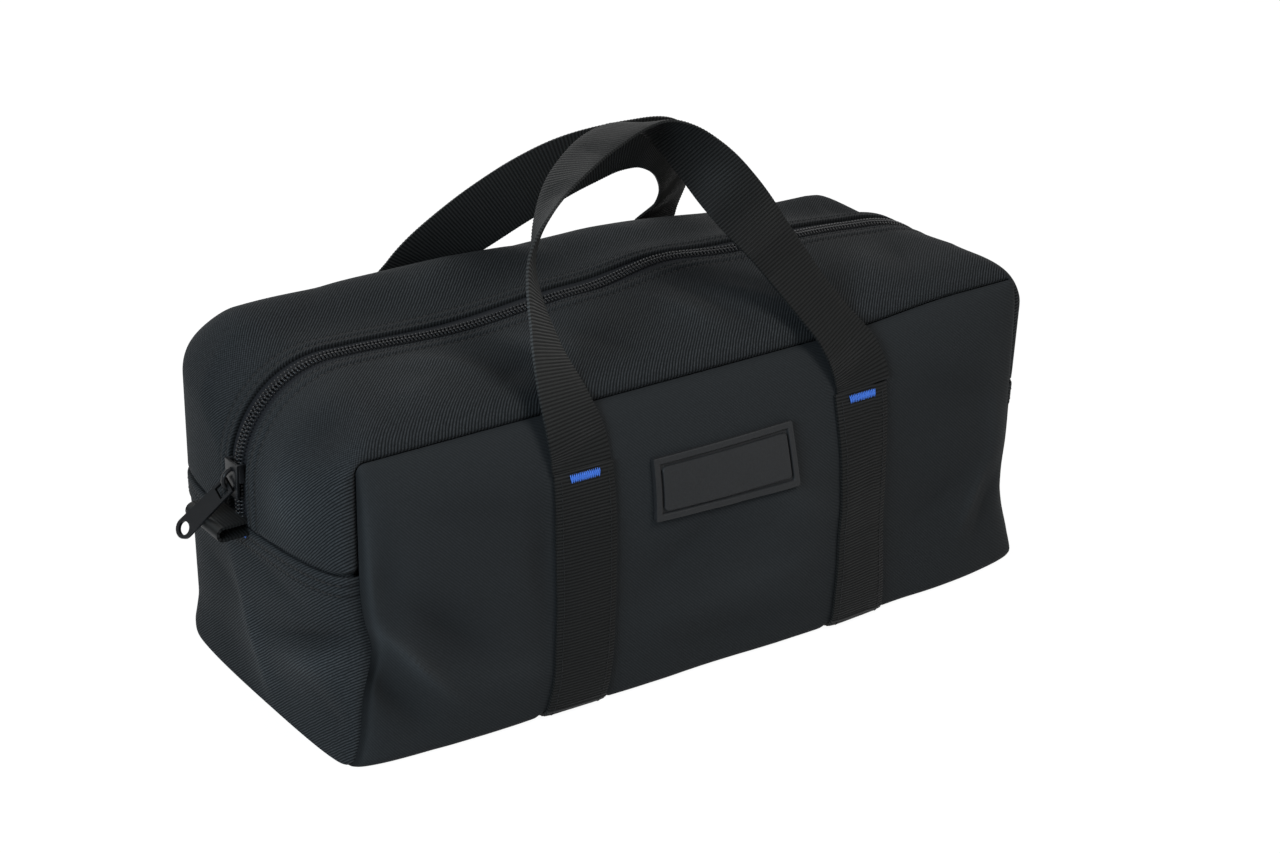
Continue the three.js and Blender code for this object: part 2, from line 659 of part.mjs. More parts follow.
function pullTab() {
  const half = PULL_WIDTH / 2;
  const root = PULL / 2;
  const outline = new THREE.Shape();
  outline.moveTo(-half + PULL / 2, -root);
  outline.lineTo(half - PULL / 2, -root);
  outline.lineTo(half, PULL);
  outline.absarc(0, PULL_LENGTH - half, half, 0, Math.PI);
  outline.lineTo(-half, PULL);
  const slot = new THREE.Path();
  slot.moveTo(-PULL_SLOT_WIDTH / 2, root);
  slot.lineTo(-PULL_SLOT_WIDTH / 2, root + PULL_SLOT_LENGTH);
  slot.lineTo(PULL_SLOT_WIDTH / 2, root + PULL_SLOT_LENGTH);
  slot.lineTo(PULL_SLOT_WIDTH / 2, root);
  const eye = new THREE.Path();
  eye.absellipse(0, PULL_LENGTH - half, PULL_EYE / 2, PULL_EYE / 2, 0, 2 * Math.PI, true, 0);
  outline.holes.push(slot, eye);
  const tab = new THREE.ExtrudeGeometry(outline, {
    depth: PULL,
    bevelEnabled: false,
    curveSegments: EYE_STEPS,
  });
  tab.translate(0, 0, -PULL / 2);
  return tab;
}

const pullAxis = new THREE.Vector3(0, Math.cos(yaw), Math.sin(yaw));
const pullDown = new THREE.Vector3(0, Math.sin(yaw), -Math.cos(yaw));
const pullAlong = pullDown.multiplyScalar(Math.cos(pullLean));
pullAlong.x = -Math.sin(pullLean);
const pullPlace = new THREE.Matrix4()
  .makeBasis(pullAxis, pullAlong, new THREE.Vector3().crossVectors(pullAxis, pullAlong))
  .setPosition(-pivotOut, 0, pivotHeight);
const pull = pullTab();
pull.applyMatrix4(pullPlace);
addPiece('pull_tab', pull, metalFinish());

export default bag;
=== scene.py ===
import math
import bpy
import numpy as np
from mathutils import Matrix, Vector, noise


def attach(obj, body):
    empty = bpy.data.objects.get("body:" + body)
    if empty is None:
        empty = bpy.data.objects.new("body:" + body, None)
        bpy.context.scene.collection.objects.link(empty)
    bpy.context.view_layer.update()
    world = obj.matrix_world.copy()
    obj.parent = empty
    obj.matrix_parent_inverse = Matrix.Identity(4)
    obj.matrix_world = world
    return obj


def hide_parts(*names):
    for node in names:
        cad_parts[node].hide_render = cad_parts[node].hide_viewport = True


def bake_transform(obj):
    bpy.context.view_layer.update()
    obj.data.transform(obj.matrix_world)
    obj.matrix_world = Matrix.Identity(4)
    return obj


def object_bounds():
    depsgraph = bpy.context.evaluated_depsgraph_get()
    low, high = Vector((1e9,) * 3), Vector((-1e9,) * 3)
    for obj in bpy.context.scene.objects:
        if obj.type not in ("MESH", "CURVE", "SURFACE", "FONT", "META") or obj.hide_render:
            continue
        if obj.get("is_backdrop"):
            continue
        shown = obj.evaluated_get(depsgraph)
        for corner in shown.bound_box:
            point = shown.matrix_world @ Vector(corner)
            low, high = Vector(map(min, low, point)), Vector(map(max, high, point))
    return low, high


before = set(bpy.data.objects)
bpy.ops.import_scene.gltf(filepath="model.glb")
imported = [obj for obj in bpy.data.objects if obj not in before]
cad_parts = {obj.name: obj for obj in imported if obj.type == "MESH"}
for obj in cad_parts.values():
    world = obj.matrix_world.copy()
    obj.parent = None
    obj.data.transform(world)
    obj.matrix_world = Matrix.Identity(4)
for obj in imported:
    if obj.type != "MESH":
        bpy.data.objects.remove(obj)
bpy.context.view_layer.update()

# Wrap: one piece of dark twill polyester that makes the front, the bottom and the back.
# It is sewn to the gusset along the top and to the end panels down the corners. All
# sizes are in millimetres until a mesh is made.
half_length = 153.0
half_width = 64.0
seam_height = 122.0
seam_corner = 3.6
seam_gap = 0.05
seam_rises = {-1: 3.6, 1: -2.5}
belly = 16.0
belly_height = 58.0
belly_drop = 6.0
bottom_round = 5.5
end_swell_low = 3.7
foot_flare = 0.024
left_lean = 0.009
right_lean = 0.036
right_return = 0.016
left_dent = 4.2
right_dent = 2.2
chest = 3.0
toe_out = 1.5
cloth = 1.2
strap_middle = 65.0
webbing_width = 25.4
webbing = 1.6
gap = 0.3
bed_ramp = 3.0
twill_pitch = 0.975
twill_waver = 1.6
cloth_colour = (0.0218, 0.0234, 0.0247)
# bulges of the front (-1), the back (1) and the foot: how far out, middle along, half length
wall_bulges = {
    -1: [(3.0, 40, 30), (-2.4, 92, 24), (-2.0, -62, 34)],
    1: [(1.5, -40, 40), (-1.5, 70, 40)],
}
foot_bulges = [(3.4, 112, 46), (1.2, -40, 40)]
# folds pressed into the front and the back:
# middle along, middle up, half length, half height, turn in degrees, how far out
wall_folds = {
    -1: [
        (-138, 43, 22, 3.4, -46, 4.6), (-146, 31, 22, 6, -48, -4.2), (-122, 52, 24, 9, -44, -2.8),
        (-152.5, 80, 2.5, 28, 0, 2.0), (-145, 80, 5, 24, 0, -1.2), (-108, 98, 26, 10, -14, -1.2),
        (-100, 28, 26, 9, -16, 1.1), (-82, 70, 6, 30, 4, -1.4), (10, 36, 34, 14, 8, 1.2),
        (2, 18, 30, 8, -4, -1.4), (-20, 60, 22, 8, 35, -1.2), (34, 66, 20, 8, -30, 1.1),
        (129, 40, 15, 2.2, 57, 1.7), (136, 32, 15, 5, 57, -1.6), (112, 46, 22, 9, 30, -1.2),
        (118, 92, 26, 9, -22, -1.3), (141, 72, 6, 24, 4, 1.2),
    ],
    1: [
        (-132, 40, 24, 5, -40, 2.2), (-120, 26, 24, 8, -30, -1.8), (-100, 88, 24, 9, 18, -1.4),
        (6, 50, 40, 20, 6, 1.5), (0, 24, 34, 9, -5, -1.4), (-30, 74, 20, 7, 32, 1.2),
        (118, 36, 26, 6, 34, 2.0), (132, 24, 20, 8, 40, -1.8), (112, 84, 24, 10, -18, -1.4),
    ],
}


def hump(x, middle, half):
    return np.exp(-(((x - middle) / half) ** 2))


def humps(x, table):
    return sum(far * hump(x, middle, half) for far, middle, half in table)


def ramp(x, start, end):
    return np.clip((x - start) / (end - start), 0, 1)


def soften(share):
    return share * share * (3 - 2 * share)


def stacked(x, y, z):
    return np.stack(np.broadcast_arrays(x, y, z), -1)


def unit(arrows):
    return arrows / np.maximum(np.linalg.norm(arrows, axis=-1, keepdims=True), 1e-9)


def folded(x, z, folds):
    out = np.zeros(np.broadcast(x, z).shape)
    for middle, height, along, up, turn, far in folds:
        c = math.cos(math.radians(turn))
        s = math.sin(math.radians(turn))
        u = (x - middle) * c + (z - height) * s
        v = (z - height) * c - (x - middle) * s
        out = out + far * np.exp(0.2 - (u / along) ** 2 - np.sqrt((v / up) ** 2 + 0.04))
    return out


def uneven(x, z, size, layer):
    one = np.vectorize(lambda a, b: noise.noise(Vector((a / size, b / size, layer))))
    return one(x + 0 * z, z + 0 * x)


def seam_rise(x, face):
    return seam_rises[face] * soften(ramp(x, 60, 125))


def toward_end(x):
    return np.minimum(1, np.abs(x) / half_length)


# the ends flare at the foot and lean in towards the top, and the front corners are dented
def tapered(x, y, z):
    low = 1 + foot_flare * np.clip(1 - z / np.where(x > 0, 23, 18), 0, 1) ** 1.5
    lean = np.where(x > 0, right_lean, left_lean) * soften(ramp(z, 0, 50))
    back = np.where(x > 0, right_return, 0) * ramp(z, 70, 115)
    near = hump(np.maximum(y, -half_width), -half_width, 10) * toward_end(x) ** 10
    dent = np.where(x > 0, right_dent * hump(z, 32, 15), left_dent * hump(z, 46, 14)) * near
    return x * (low - lean + back) - np.sign(x) * dent


def seam_top(x, face):
    radius = seam_corner - seam_gap
    reach = np.clip(np.abs(x) - (half_length - seam_corner), 0, radius)
    return seam_height - seam_corner + np.sqrt(radius ** 2 - reach ** 2) + seam_rise(x, face)


def belly_along(x):
    return (1 - np.minimum(1, np.abs(x) / (half_length - seam_gap)) ** 3) ** (1 / 3)


def wall_out(x, z, face):
    span = np.where(z > belly_height, seam_top(x, face) - belly_height, belly_height + belly_drop)
    share = np.minimum(1, np.abs(z - belly_height) / span)
    low = ramp(z, 100, 75)
    inside = (1 - share ** 8) * (1 - toward_end(x) ** 60)
    slack = 0.7 * uneven(x, z, 38, 3.1 * face) + 0.3 * uneven(x, z, 13, 7.7 * face)
    full = (belly + low * humps(x, wall_bulges[face])) * belly_along(x) * np.sqrt(1 - share ** 2)
    if face < 0:
        full = full + chest * hump(x, -4, 38) * hump(z, 80, 22)
    foot = (toe_out + humps(x, foot_bulges)) * ramp(z, 44, 0) * belly_along(x)
    return half_width + full + foot + inside * low * (folded(x, z, wall_folds[face]) + slack)


# shallow beds in which the straps lie
def bed_depth(x):
    past = np.abs(np.abs(x) - strap_middle) - (webbing_width / 2 + gap)
    return (webbing + gap) * np.clip(1 - past / bed_ramp, 0, 1)


def wrap_half(x, face, fine):
    steps_up, steps_down, steps_round, steps_flat = (fine * count for count in (36, 26, 6, 8))
    up = np.linspace(math.pi / 2, 0, steps_up + 1)
    down = np.linspace(belly_height, bottom_round, steps_down + 1)[1:]
    high = belly_height + (seam_top(x, face) - belly_height) * np.sin(up)
    z = np.concatenate([high, down + 0 * x], 1)
    y = wall_out(x, z, face)
    foot = y[:, -1:]
    bed = bed_depth(x)
    turn = np.linspace(0, math.pi / 2, steps_round + 1)[1:]
    y_round = foot - bottom_round * (1 - np.cos(turn))
    z_round = bottom_round - (bottom_round - bed) * np.sin(turn)
    y_flat = (foot - bottom_round) * np.linspace(1, 0, steps_flat + 1)[1:]
    y = np.concatenate([y, y_round, y_flat], 1)
    z = np.concatenate([z, z_round, bed + 0 * y_flat], 1)
    return face * y, z


def end_round(a):
    bow = np.where(a > 0, 2.25, 3.0)
    return (1 - np.abs(a) ** bow) ** (1 / bow)


def end_half(z):
    drop = np.maximum(0, bottom_round - z)
    return half_width - bottom_round + np.sqrt(np.maximum(0, bottom_round ** 2 - drop ** 2))


def wrap_outline(x, fine=1, swell=end_swell_low):
    x = np.asarray(x, float).reshape(-1, 1)
    y0, z0 = wrap_half(x, -1, fine)
    y1, z1 = wrap_half(x, 1, fine)
    y = np.concatenate([y0, y1[:, -2::-1]], 1)
    z = np.concatenate([z0, z1[:, -2::-1]], 1)
    toe = swell * end_round(np.clip(y / end_half(z), -1, 1)) * toward_end(x) ** 30
    return stacked(tapered(x + np.sign(x) * toe, y, z), y, z)


def outward(grid, away):
    normal = unit(np.cross(np.gradient(grid, axis=0), np.gradient(grid, axis=1)))
    return normal * np.sign(np.sum(normal * (grid - np.asarray(away)), axis=-1).mean())


def lengths(grid, axis):
    step = np.linalg.norm(np.diff(grid, axis=axis), axis=-1)
    first = np.zeros_like(np.take(step, [0], axis=axis))
    return np.cumsum(np.concatenate([first, step], axis=axis), axis=axis)


def smooth(obj, degrees):
    bpy.ops.object.select_all(action="DESELECT")
    obj.select_set(True)
    bpy.context.view_layer.objects.active = obj
    bpy.ops.object.shade_smooth_by_angle(angle=math.radians(degrees))
    return obj


def new_piece(name, points, faces, material, degrees):
    mesh = bpy.data.meshes.new(name)
    mesh.from_pydata((points * 0.001).tolist(), [], faces)
    mesh.update()
    mesh.materials.append(material)
    obj = bpy.data.objects.new(name, mesh)
    bpy.context.collection.objects.link(obj)
    return smooth(obj, degrees)


# a closed sheet between two grids, with its cloth coordinates and its marks on each point
def shell(name, outer, inner, along, across, material, marks=None):
    rows, cols = outer.shape[:2]
    count = rows * cols
    k = np.arange(count).reshape(rows, cols)
    a, b, c, d = k[:-1, :-1], k[1:, :-1], k[1:, 1:], k[:-1, 1:]
    top = np.stack([a, b, c, d], -1).reshape(-1, 4)
    under = np.stack([a, d, c, b], -1).reshape(-1, 4) + count
    rim = np.concatenate([k[0, :], k[1:, -1], k[-1, -2::-1], k[-2:0:-1, 0]])
    after = np.roll(rim, -1)
    sides = np.stack([rim, after, after + count, rim + count], -1)
    faces = np.concatenate([top, under, sides])
    flat_out = outer.reshape(-1, 3)
    flat_in = inner.reshape(-1, 3)
    quad = flat_out[top]
    normal = np.cross(quad[:, 1] - quad[:, 0], quad[:, 3] - quad[:, 0])
    thick = flat_out[top[:, 0]] - flat_in[top[:, 0]]
    if np.sum(normal * thick) < 0:
        faces = faces[:, ::-1]
    obj = new_piece(name, np.concatenate([flat_out, flat_in]), faces.tolist(), material, 38)
    uv = np.stack(np.broadcast_arrays(along, across), -1).reshape(-1, 2) * 0.001
    layer = obj.data.uv_layers.new(name="cloth")
    corners = np.empty(len(obj.data.loops), int)
    obj.data.loops.foreach_get("vertex_index", corners)
    layer.data.foreach_set("uv", uv[corners % count].astype(np.float32).ravel())
    for mark, values in (marks or {}).items():
        attribute = obj.data.attributes.new(mark, "FLOAT", "POINT")
        both = np.tile(np.broadcast_to(values, (rows, cols)).ravel(), 2)
        attribute.data.foreach_set("value", both.astype(np.float32))
    return obj


def new_material(name):
    material = bpy.data.materials.new(name)
    material.use_nodes = True
    return material, material.node_tree, material.node_tree.nodes["Principled BSDF"]


def feed(tree, node, sockets):
    for socket, value in sockets.items():
        if isinstance(value, bpy.types.NodeSocket):
            tree.links.new(value, node.inputs[socket])
        else:
            node.inputs[socket].default_value = value


def add(tree, kind, sockets, **settings):
    node = tree.nodes.new(f"ShaderNode{kind}")
    for setting, value in settings.items():
        setattr(node, setting, value)
    feed(tree, node, sockets)
    return node


def cloth_uv(tree):
    return add(tree, "UVMap", {}, uv_map="cloth").outputs["UV"]


def marked(tree, mark):
    return add(tree, "Attribute", {}, attribute_name=mark).outputs["Fac"]


def bands(tree, source, turn, pitch, waver):
    turned = add(tree, "Mapping", {"Vector": source, "Rotation": (0, 0, math.radians(turn))})
    wave = add(tree, "TexWave", {
        "Vector": turned.outputs["Vector"], "Scale": math.pi / 10 / (pitch * 0.001),
        "Distortion": waver, "Detail": 1, "Detail Scale": 0.7,
    })
    return wave.outputs["Fac"]


def reckon(tree, kind, first, second):
    return add(tree, "Math", {0: first, 1: second}, operation=kind).outputs[0]


def between(tree, share, first, second):
    first, second = ((*c, 1) if isinstance(c, tuple) else c for c in (first, second))
    mix = add(tree, "Mix", {"Factor": share, "A": first, "B": second}, data_type="RGBA")
    return mix.outputs["Result"]


def two_tone(tree, share, colour, dark, light):
    return between(tree, share, tuple(dark * c for c in colour), tuple(light * c for c in colour))


def mottle(tree, size, detail=3):
    place = add(tree, "TexCoord", {}).outputs["Object"]
    cloud = add(tree, "TexNoise", {"Vector": place, "Scale": 1000 / size, "Detail": detail})
    return cloud.outputs["Fac"]


def raised(tree, height, depth, strength):
    bump = add(tree, "Bump", {"Strength": strength, "Distance": depth * 0.001, "Height": height})
    return bump.outputs["Normal"]


# painted light and shade: the colour is scaled by the crest mark, so fold ridges are painted paler and
# hollows, stitch lines and seams painted darker
def painted_light_and_shade(tree, colour):
    factor = reckon(tree, "ADD", reckon(tree, "MULTIPLY", marked(tree, "crest"), 0.5), 1.0)
    tone = add(tree, "VectorMath", {0: colour, "Scale": factor}, operation="SCALE")
    return tone.outputs["Vector"]


def twill(name, colour, turn, depth, turned=None):
    material, tree, shader = new_material(name)
    uv = cloth_uv(tree)
    rib = bands(tree, uv, turn, twill_pitch, twill_waver)
    if turned is not None:
        aside = add(tree, "CombineXYZ", {"X": marked(tree, "slide")})
        moved = add(tree, "VectorMath", {0: uv, 1: aside.outputs["Vector"]})
        other = bands(tree, moved.outputs["Vector"], turned, twill_pitch, twill_waver)
        mix = add(tree, "Mix", {"Factor": marked(tree, "bend"), "A": rib, "B": other})
        rib = mix.outputs["Result"]
    grain = reckon(tree, "ADD", reckon(tree, "MULTIPLY", mottle(tree, 0.9, 2), 1.3), 0.15)
    weave = reckon(tree, "MULTIPLY", rib, grain)
    woven = two_tone(tree, weave, colour, 1 - 0.6 * depth, 1 + 0.8 * depth)
    worn = reckon(tree, "MULTIPLY", mottle(tree, 34), 0.4)
    feed(tree, shader, {
        "Base Color": painted_light_and_shade(tree, between(tree, worn, woven, colour)),
        "Roughness": 0.72, "Specular IOR Level": 0.03,
        "Sheen Weight": 0.01, "Sheen Roughness": 0.45,
        "Normal": raised(tree, weave, 0.18 * depth, 0.5),
    })
    return material


# painted light and shade: fold ridges get a painted highlight and hollows a painted shade
def fold_light_and_shade(fold):
    return np.where(fold > 0, 0.34, 0.2) * fold


ends = np.array([13, 10.5, 8.5, 6.8, 5.4, 4.2, 3.2, 2.4, 1.75, 1.2, 0.8, 0.5, 0.3, 0.15, 0.05])
even = np.linspace(-138.2, 138.2, 161)
stations = np.concatenate([ends[::-1] - half_length, even, half_length - ends])
outer = wrap_outline(stations)
inner = outer - cloth * outward(wrap_outline(stations, swell=0), (0, 0, 60))
up = lengths(outer, 1)
up = up - up[:, [up.shape[1] // 2]]
x = stations.reshape(-1, 1)
z = outer[..., 2]
# painted light and shade on the wrap's folds between the foot and the top, and a painted shade line down
# each end seam
crest = np.where(outer[..., 1] < 0, folded(x, z, wall_folds[-1]), folded(x, z, wall_folds[1]))
crest = crest * ramp(z, 2, 12) * ramp(z, 114, 102) - 5 * hump(np.abs(x), half_length, 0.9)
wrap_cloth = twill("wrap_cloth", cloth_colour, 45, 0.34)
wrap = shell("wrap", outer, inner, outer[..., 0], up, wrap_cloth, {"crest": fold_light_and_shade(crest)})
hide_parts("body_panel")
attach(wrap, "bag_body")

# Gusset: the strip of the same cloth that closes both ends and the top, split down its
# middle by the zipper. Each half is folded under along the zipper and sewn to the wrap
# along its other edge. It is in a left and a right half; on the bag, only its top folds back.
end_swell = 13.0
crown = 14.0
crown_corner = 41.0
zip_edge = 6.5
zip_rows = (2.6, 7.0)
hem_overlap = 5.0
hem_tuck = 2.3
# how far the zipper line and the rear half of the top stand above an even crown, by place along
crown_lifts = [
    (-153, 0), (-135, -0.4), (-118, -0.8), (-84, -2.6), (-66, -2.0), (-45, 0.2), (-25, 1.8),
    (-11, 0.8), (13, 3.4), (25, 4.6), (47, 2.6), (70, 2.4), (87, 2.4), (108, 0.4), (126, -1.6),
    (143, -1.8), (153, -0.6),
]
rear_lifts = [
    (-153, 6.6), (-130, 8.0), (-95, 7.8), (-50, 7.2), (-20, 6.2), (0, 5.2), (45, 3.8), (70, 1.4),
    (90, -0.6), (110, -2.4), (128, -4.0), (150, -4.0),
]
# how far the teeth stray to the rear from the middle of the opening, by place along
zip_shifts = [
    (-112, 0), (-80, -1.4), (-40, -1.6), (-16, -2.0), (4, -0.2), (24, 1.6), (44, 0.0), (62, -1.8),
    (90, -1.0), (112, 0),
]
# height of the end panel's folded edge, by place across
fold_heights = [(-64, 78.6), (-42, 77.6), (-20, 76.4), (0, 75.4), (30, 73.6), (64, 72.0)]
# hollows in the top: middle along, middle across, half length, half width, turn, how far out
top_folds = [
    (-114, -44, 12, 8, 30, 1.6), (-100, -26, 14, 9, -20, 1.5), (-76, -46, 12, 10, 40, -2.2),
    (-88, -38, 18, 5, -58, 1.4), (-54, -34, 14, 8, -50, 1.6), (-32, -44, 16, 7, -62, -1.8),
    (6, -40, 18, 6, -66, 1.6), (20, -40, 24, 4.5, -72, -2.0), (40, -46, 18, 7, -50, 1.6),
    (64, -36, 20, 8, -60, -1.6), (92, -42, 18, 7, 50, 1.5), (112, -38, 16, 6, 60, -1.6),
    (-112, 40, 18, 8, 50, -1.2), (-60, 36, 20, 9, 40, 1.2), (-10, 44, 20, 8, -50, -1.2),
    (30, 38, 20, 9, -40, 1.2), (84, 40, 18, 7, 50, -1.6),
]
# hollows at the corners: side, place along the run, middle across, half run, half width, how far out
corner_folds = [
    (-1, 1.55, -44, 0.30, 14, -2.4), (-1, 0.85, -36, 0.40, 14, 2.8), (1, 1.5, -36, 0.34, 16, -2.0),
    (-1, 1.5, 40, 0.34, 15, -0.6), (1, 1.75, 36, 0.45, 18, -3.0),
]


def eased(x, table):
    spots, values = np.array(table, float).T
    return sum(np.interp(x + d, spots, values) for d in (-9, -6, -3, 0, 3, 6, 9)) / 7


def fold_height(across):
    return eased(across, fold_heights)


def toward_edge(y):
    return np.minimum(1, np.abs(y) / half_width)


def gusset_folds(side, run, across, x, on_top):
    out = folded(x, across + 0 * run, top_folds) * on_top
    for where, middle, lie, half_run, half_wide, far in corner_folds:
        if where == side:
            out = out + far * hump(run, middle, half_run) * hump(across, lie, half_wide)
    return out * (1 - toward_edge(across) ** 8) * ramp(np.abs(across), 8, 20)


# run goes 0 to 1 up the end, 1 to 2 round the corner and 2 to 3 along the top to the middle
def gusset_base(side, run, across):
    a = np.clip(across / half_width, -1, 1)
    s = (1 - np.abs(a) ** 3) ** (1 / 3)
    boxy = np.where(across > 0, 15.0, 8.0) * ramp(np.abs(across), 12, 32)
    radius = seam_corner + (crown_corner - boxy - seam_corner) * s
    rear = soften(ramp(a, 0.12, 0.52))
    slump = 0.5 * rear * hump(run, 1.8, 0.7) * ramp(run, 3, 2.4) if side > 0 else 0
    start = seam_height + crown * s * (1 - slump) - radius
    foot = fold_height(across) - hem_overlap
    turn = ramp(run, 1, 2) * math.pi / 2
    x = half_length + end_swell * end_round(a) - radius * (1 - np.cos(turn))
    x = side * x * (1 - ramp(run, 2, 3))
    z = np.where(run < 1, foot + (start - foot) * run, start + radius * np.sin(turn))
    on_top = soften(ramp(run, 1.2, 2))
    lift = eased(x, crown_lifts) * (1 - np.abs(a) ** 2.4) * (1 - rear)
    lift = lift + eased(x, rear_lifts) * hump(across, 44, 19) * rear * (1 - np.abs(a) ** 9)
    rise = np.where(across < 0, seam_rise(x, -1), seam_rise(x, 1)) * a * a
    z = z + on_top * (lift + rise)
    waver = 1.3 * np.sin(x / 21.0 + 0.6) * ramp(np.abs(x), 120, 80)
    y = across + on_top * (1 - np.abs(a)) * waver
    out = gusset_folds(side, run, across, x, on_top)
    z = z + out * np.sin(turn)
    x = x + side * out * np.cos(turn)
    away = np.abs(a) ** 1.5 if side < 0 else 1.0
    return stacked(x + (tapered(x, y, z) - x) * away, y, z)


def gusset_axes(side, run, across):
    tiny_run = 0.002
    tiny = 0.05
    near = np.clip(across, -half_width + 2 * tiny, half_width - 2 * tiny)
    along = unit(gusset_base(side, run + tiny_run, near) - gusset_base(side, run - tiny_run, near))
    wide = unit(gusset_base(side, run, near + tiny) - gusset_base(side, run, near - tiny))
    return along, wide, unit(np.cross(along, wide) * -side)


def gusset_place(side, run, across, depth):
    return gusset_base(side, run, across) - depth * gusset_axes(side, run, across)[2]


def run_steps(end_count, corner_count, top_count):
    return np.concatenate([
        np.linspace(0, 1, end_count + 1)[:-1],
        np.linspace(1, 2, corner_count + 1)[:-1],
        np.linspace(2, 3, top_count + 1),
    ]).reshape(-1, 1)


def behind_hem(side, run, across):
    above = gusset_base(side, run, across)[..., 2] - fold_height(across)
    return np.where(run < 1, hem_tuck * (1 - soften(ramp(above, 0, 2.5))), 0)


# painted shade on the rear half of the left end
def painted_end_shade(side, y):
    return 0.35 * ramp(y, -12, 28) if side < 0 else 0


def zip_line(side, run):
    x = side * (half_length + end_swell - crown_corner) * (3 - run)
    return np.where(run > 2, eased(x, zip_shifts), 0)


def hem_depth(past):
    depth = 0.75 * hump(past, 0, 0.3) - 0.35 * hump(past, 4.8, 1.6) - 0.25 * hump(past, 1.4, 5.0)
    return depth + sum(0.28 * hump(past, row, 0.7) for row in zip_rows)


gusset_cloth = twill("gusset_cloth", cloth_colour, 45, 1.4, -45)
end_words = {-1: "left", 1: "right"}
face_words = {-1: "front", 1: "rear"}
quarters = [(face, side, face_words[face], end_words[side]) for face in (-1, 1) for side in (-1, 1)]
near_zip = np.array([0, 0.2, 0.5, 0.9, 1.4, 2.0, 2.6, 3.2, 4.0, 4.8, 5.6, 6.3, 7.0, 7.7, 8.6])
near_seam = half_width * (1 - np.array([0.1, 0.07, 0.045, 0.02, 0.0]) ** 3 / 3)
spread = zip_edge + (half_width - zip_edge) * np.sin(np.linspace(0, math.pi / 2, 41))
spread = spread[spread > zip_edge + 10][:-1]
spread = np.concatenate([zip_edge + near_zip, spread, near_seam]).reshape(1, -1)
past = spread - zip_edge
rim = (1 - toward_edge(spread) ** 3) ** (1 / 3)
sunk = hem_depth(past) + 0.7 * hump(rim, 0, 0.06)
# painted shade along the zipper's stitch rows and along the folded edge by the teeth
painted_line_shade = 0.9 * sum(hump(past, row, 0.6) for row in zip_rows) + 1.2 * hump(past, 0, 0.5)
run = run_steps(16, 30, 56)
for face, side, name, end in quarters:
    across = face * spread
    behind = behind_hem(side, run, across)
    outer = gusset_place(side, run, across, (sunk + behind)[..., None])
    inner = gusset_place(side, run, across, cloth + 0.2 + behind[..., None])
    x = gusset_base(side, run, across)[..., 0]
    # painted light and shade on the top's folds, less the painted shade on the left end's rear half and
    # along the stitches
    crest = fold_light_and_shade(gusset_folds(side, run, across, x, ramp(run, 1.2, 2)))
    crest = crest - painted_end_shade(side, across) * ramp(run, 2, 1) - painted_line_shade
    down = lengths(outer, 0)
    marks = {"bend": ramp(run, 1.25, 1.85), "crest": crest, "slide": -0.001 * side * down[-1:]}
    piece = shell(f"{name}_gusset_{end}", outer, inner, side * down, across, gusset_cloth, marks)
    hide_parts(f"{end}_end_upper_{name}", f"{name}_top_flap")
    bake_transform(piece)

# Zipper stitches: two rows of black thread along each folded edge of the gusset, sewn
# through the zipper tape.
stitch_pitch = 3.0
stitch_width = 0.78
zip_start = 0.36


def swept(rings):
    rings = np.asarray(rings, float)
    count, sides = rings.shape[:2]
    k = np.arange(count * sides).reshape(count, sides)
    after = np.roll(k, -1, 1)
    quads = np.stack([k[:-1], after[:-1], after[1:], k[1:]], -1).reshape(-1, 4)
    return rings.reshape(-1, 3), quads.tolist() + [k[0, ::-1].tolist(), k[-1].tolist()]


# copies of one small form, each at its place and on its own three axes
def strewn(name, template, rows, material):
    points, faces = template
    place, along, wide, out = (np.concatenate(part) for part in zip(*rows))
    spots = place[:, None] + np.einsum("pk,kni->npi", points, np.stack([along, wide, out]))
    p = points - points.mean(0)
    fans = [(f[0], f[k], f[k + 1]) for f in faces for k in range(1, len(f) - 1)]
    volume = sum(np.dot(p[a], np.cross(p[b], p[c])) for a, b, c in fans)
    hand = np.sign(np.sum(np.cross(along, wide) * out, axis=-1).mean())
    step = 1 if volume * hand > 0 else -1
    every = [[v + n * len(points) for v in f[::step]] for n in range(len(place)) for f in faces]
    return new_piece(name, spots.reshape(-1, 3), every, material, 60)


def stitch_template(length, wide, high):
    rings = []
    for place, size in ((-0.5, 0.3), (-0.34, 0.9), (0.0, 1.0), (0.34, 0.9), (0.5, 0.3)):
        ring = []
        for turn in np.arange(6) * math.pi / 3:
            lift = high * size * math.sin(turn) + high * 0.5 * (1 - (2 * place) ** 2) - 0.1
            ring.append((place * length, wide / 2 * size * math.cos(turn), lift))
        rings.append(ring)
    return swept(rings)


def thread(name, colour, roughness, sheen):
    material, tree, shader = new_material(name)
    fibre = mottle(tree, 0.35, 4)
    feed(tree, shader, {
        "Base Color": two_tone(tree, fibre, colour, 0.6, 1.35), "Roughness": roughness,
        "Specular IOR Level": 0.2, "Sheen Weight": sheen, "Normal": raised(tree, fibre, 0.08, 0.5),
    })
    return material


def spaced(side, lie, pitch, last):
    run = np.linspace(zip_start, last, 1400)
    far = lengths(gusset_base(side, run, lie(run)), 0)
    count = int(far[-1] / pitch)
    return np.interp((np.arange(count) + 0.5) * far[-1] / count, far, run)


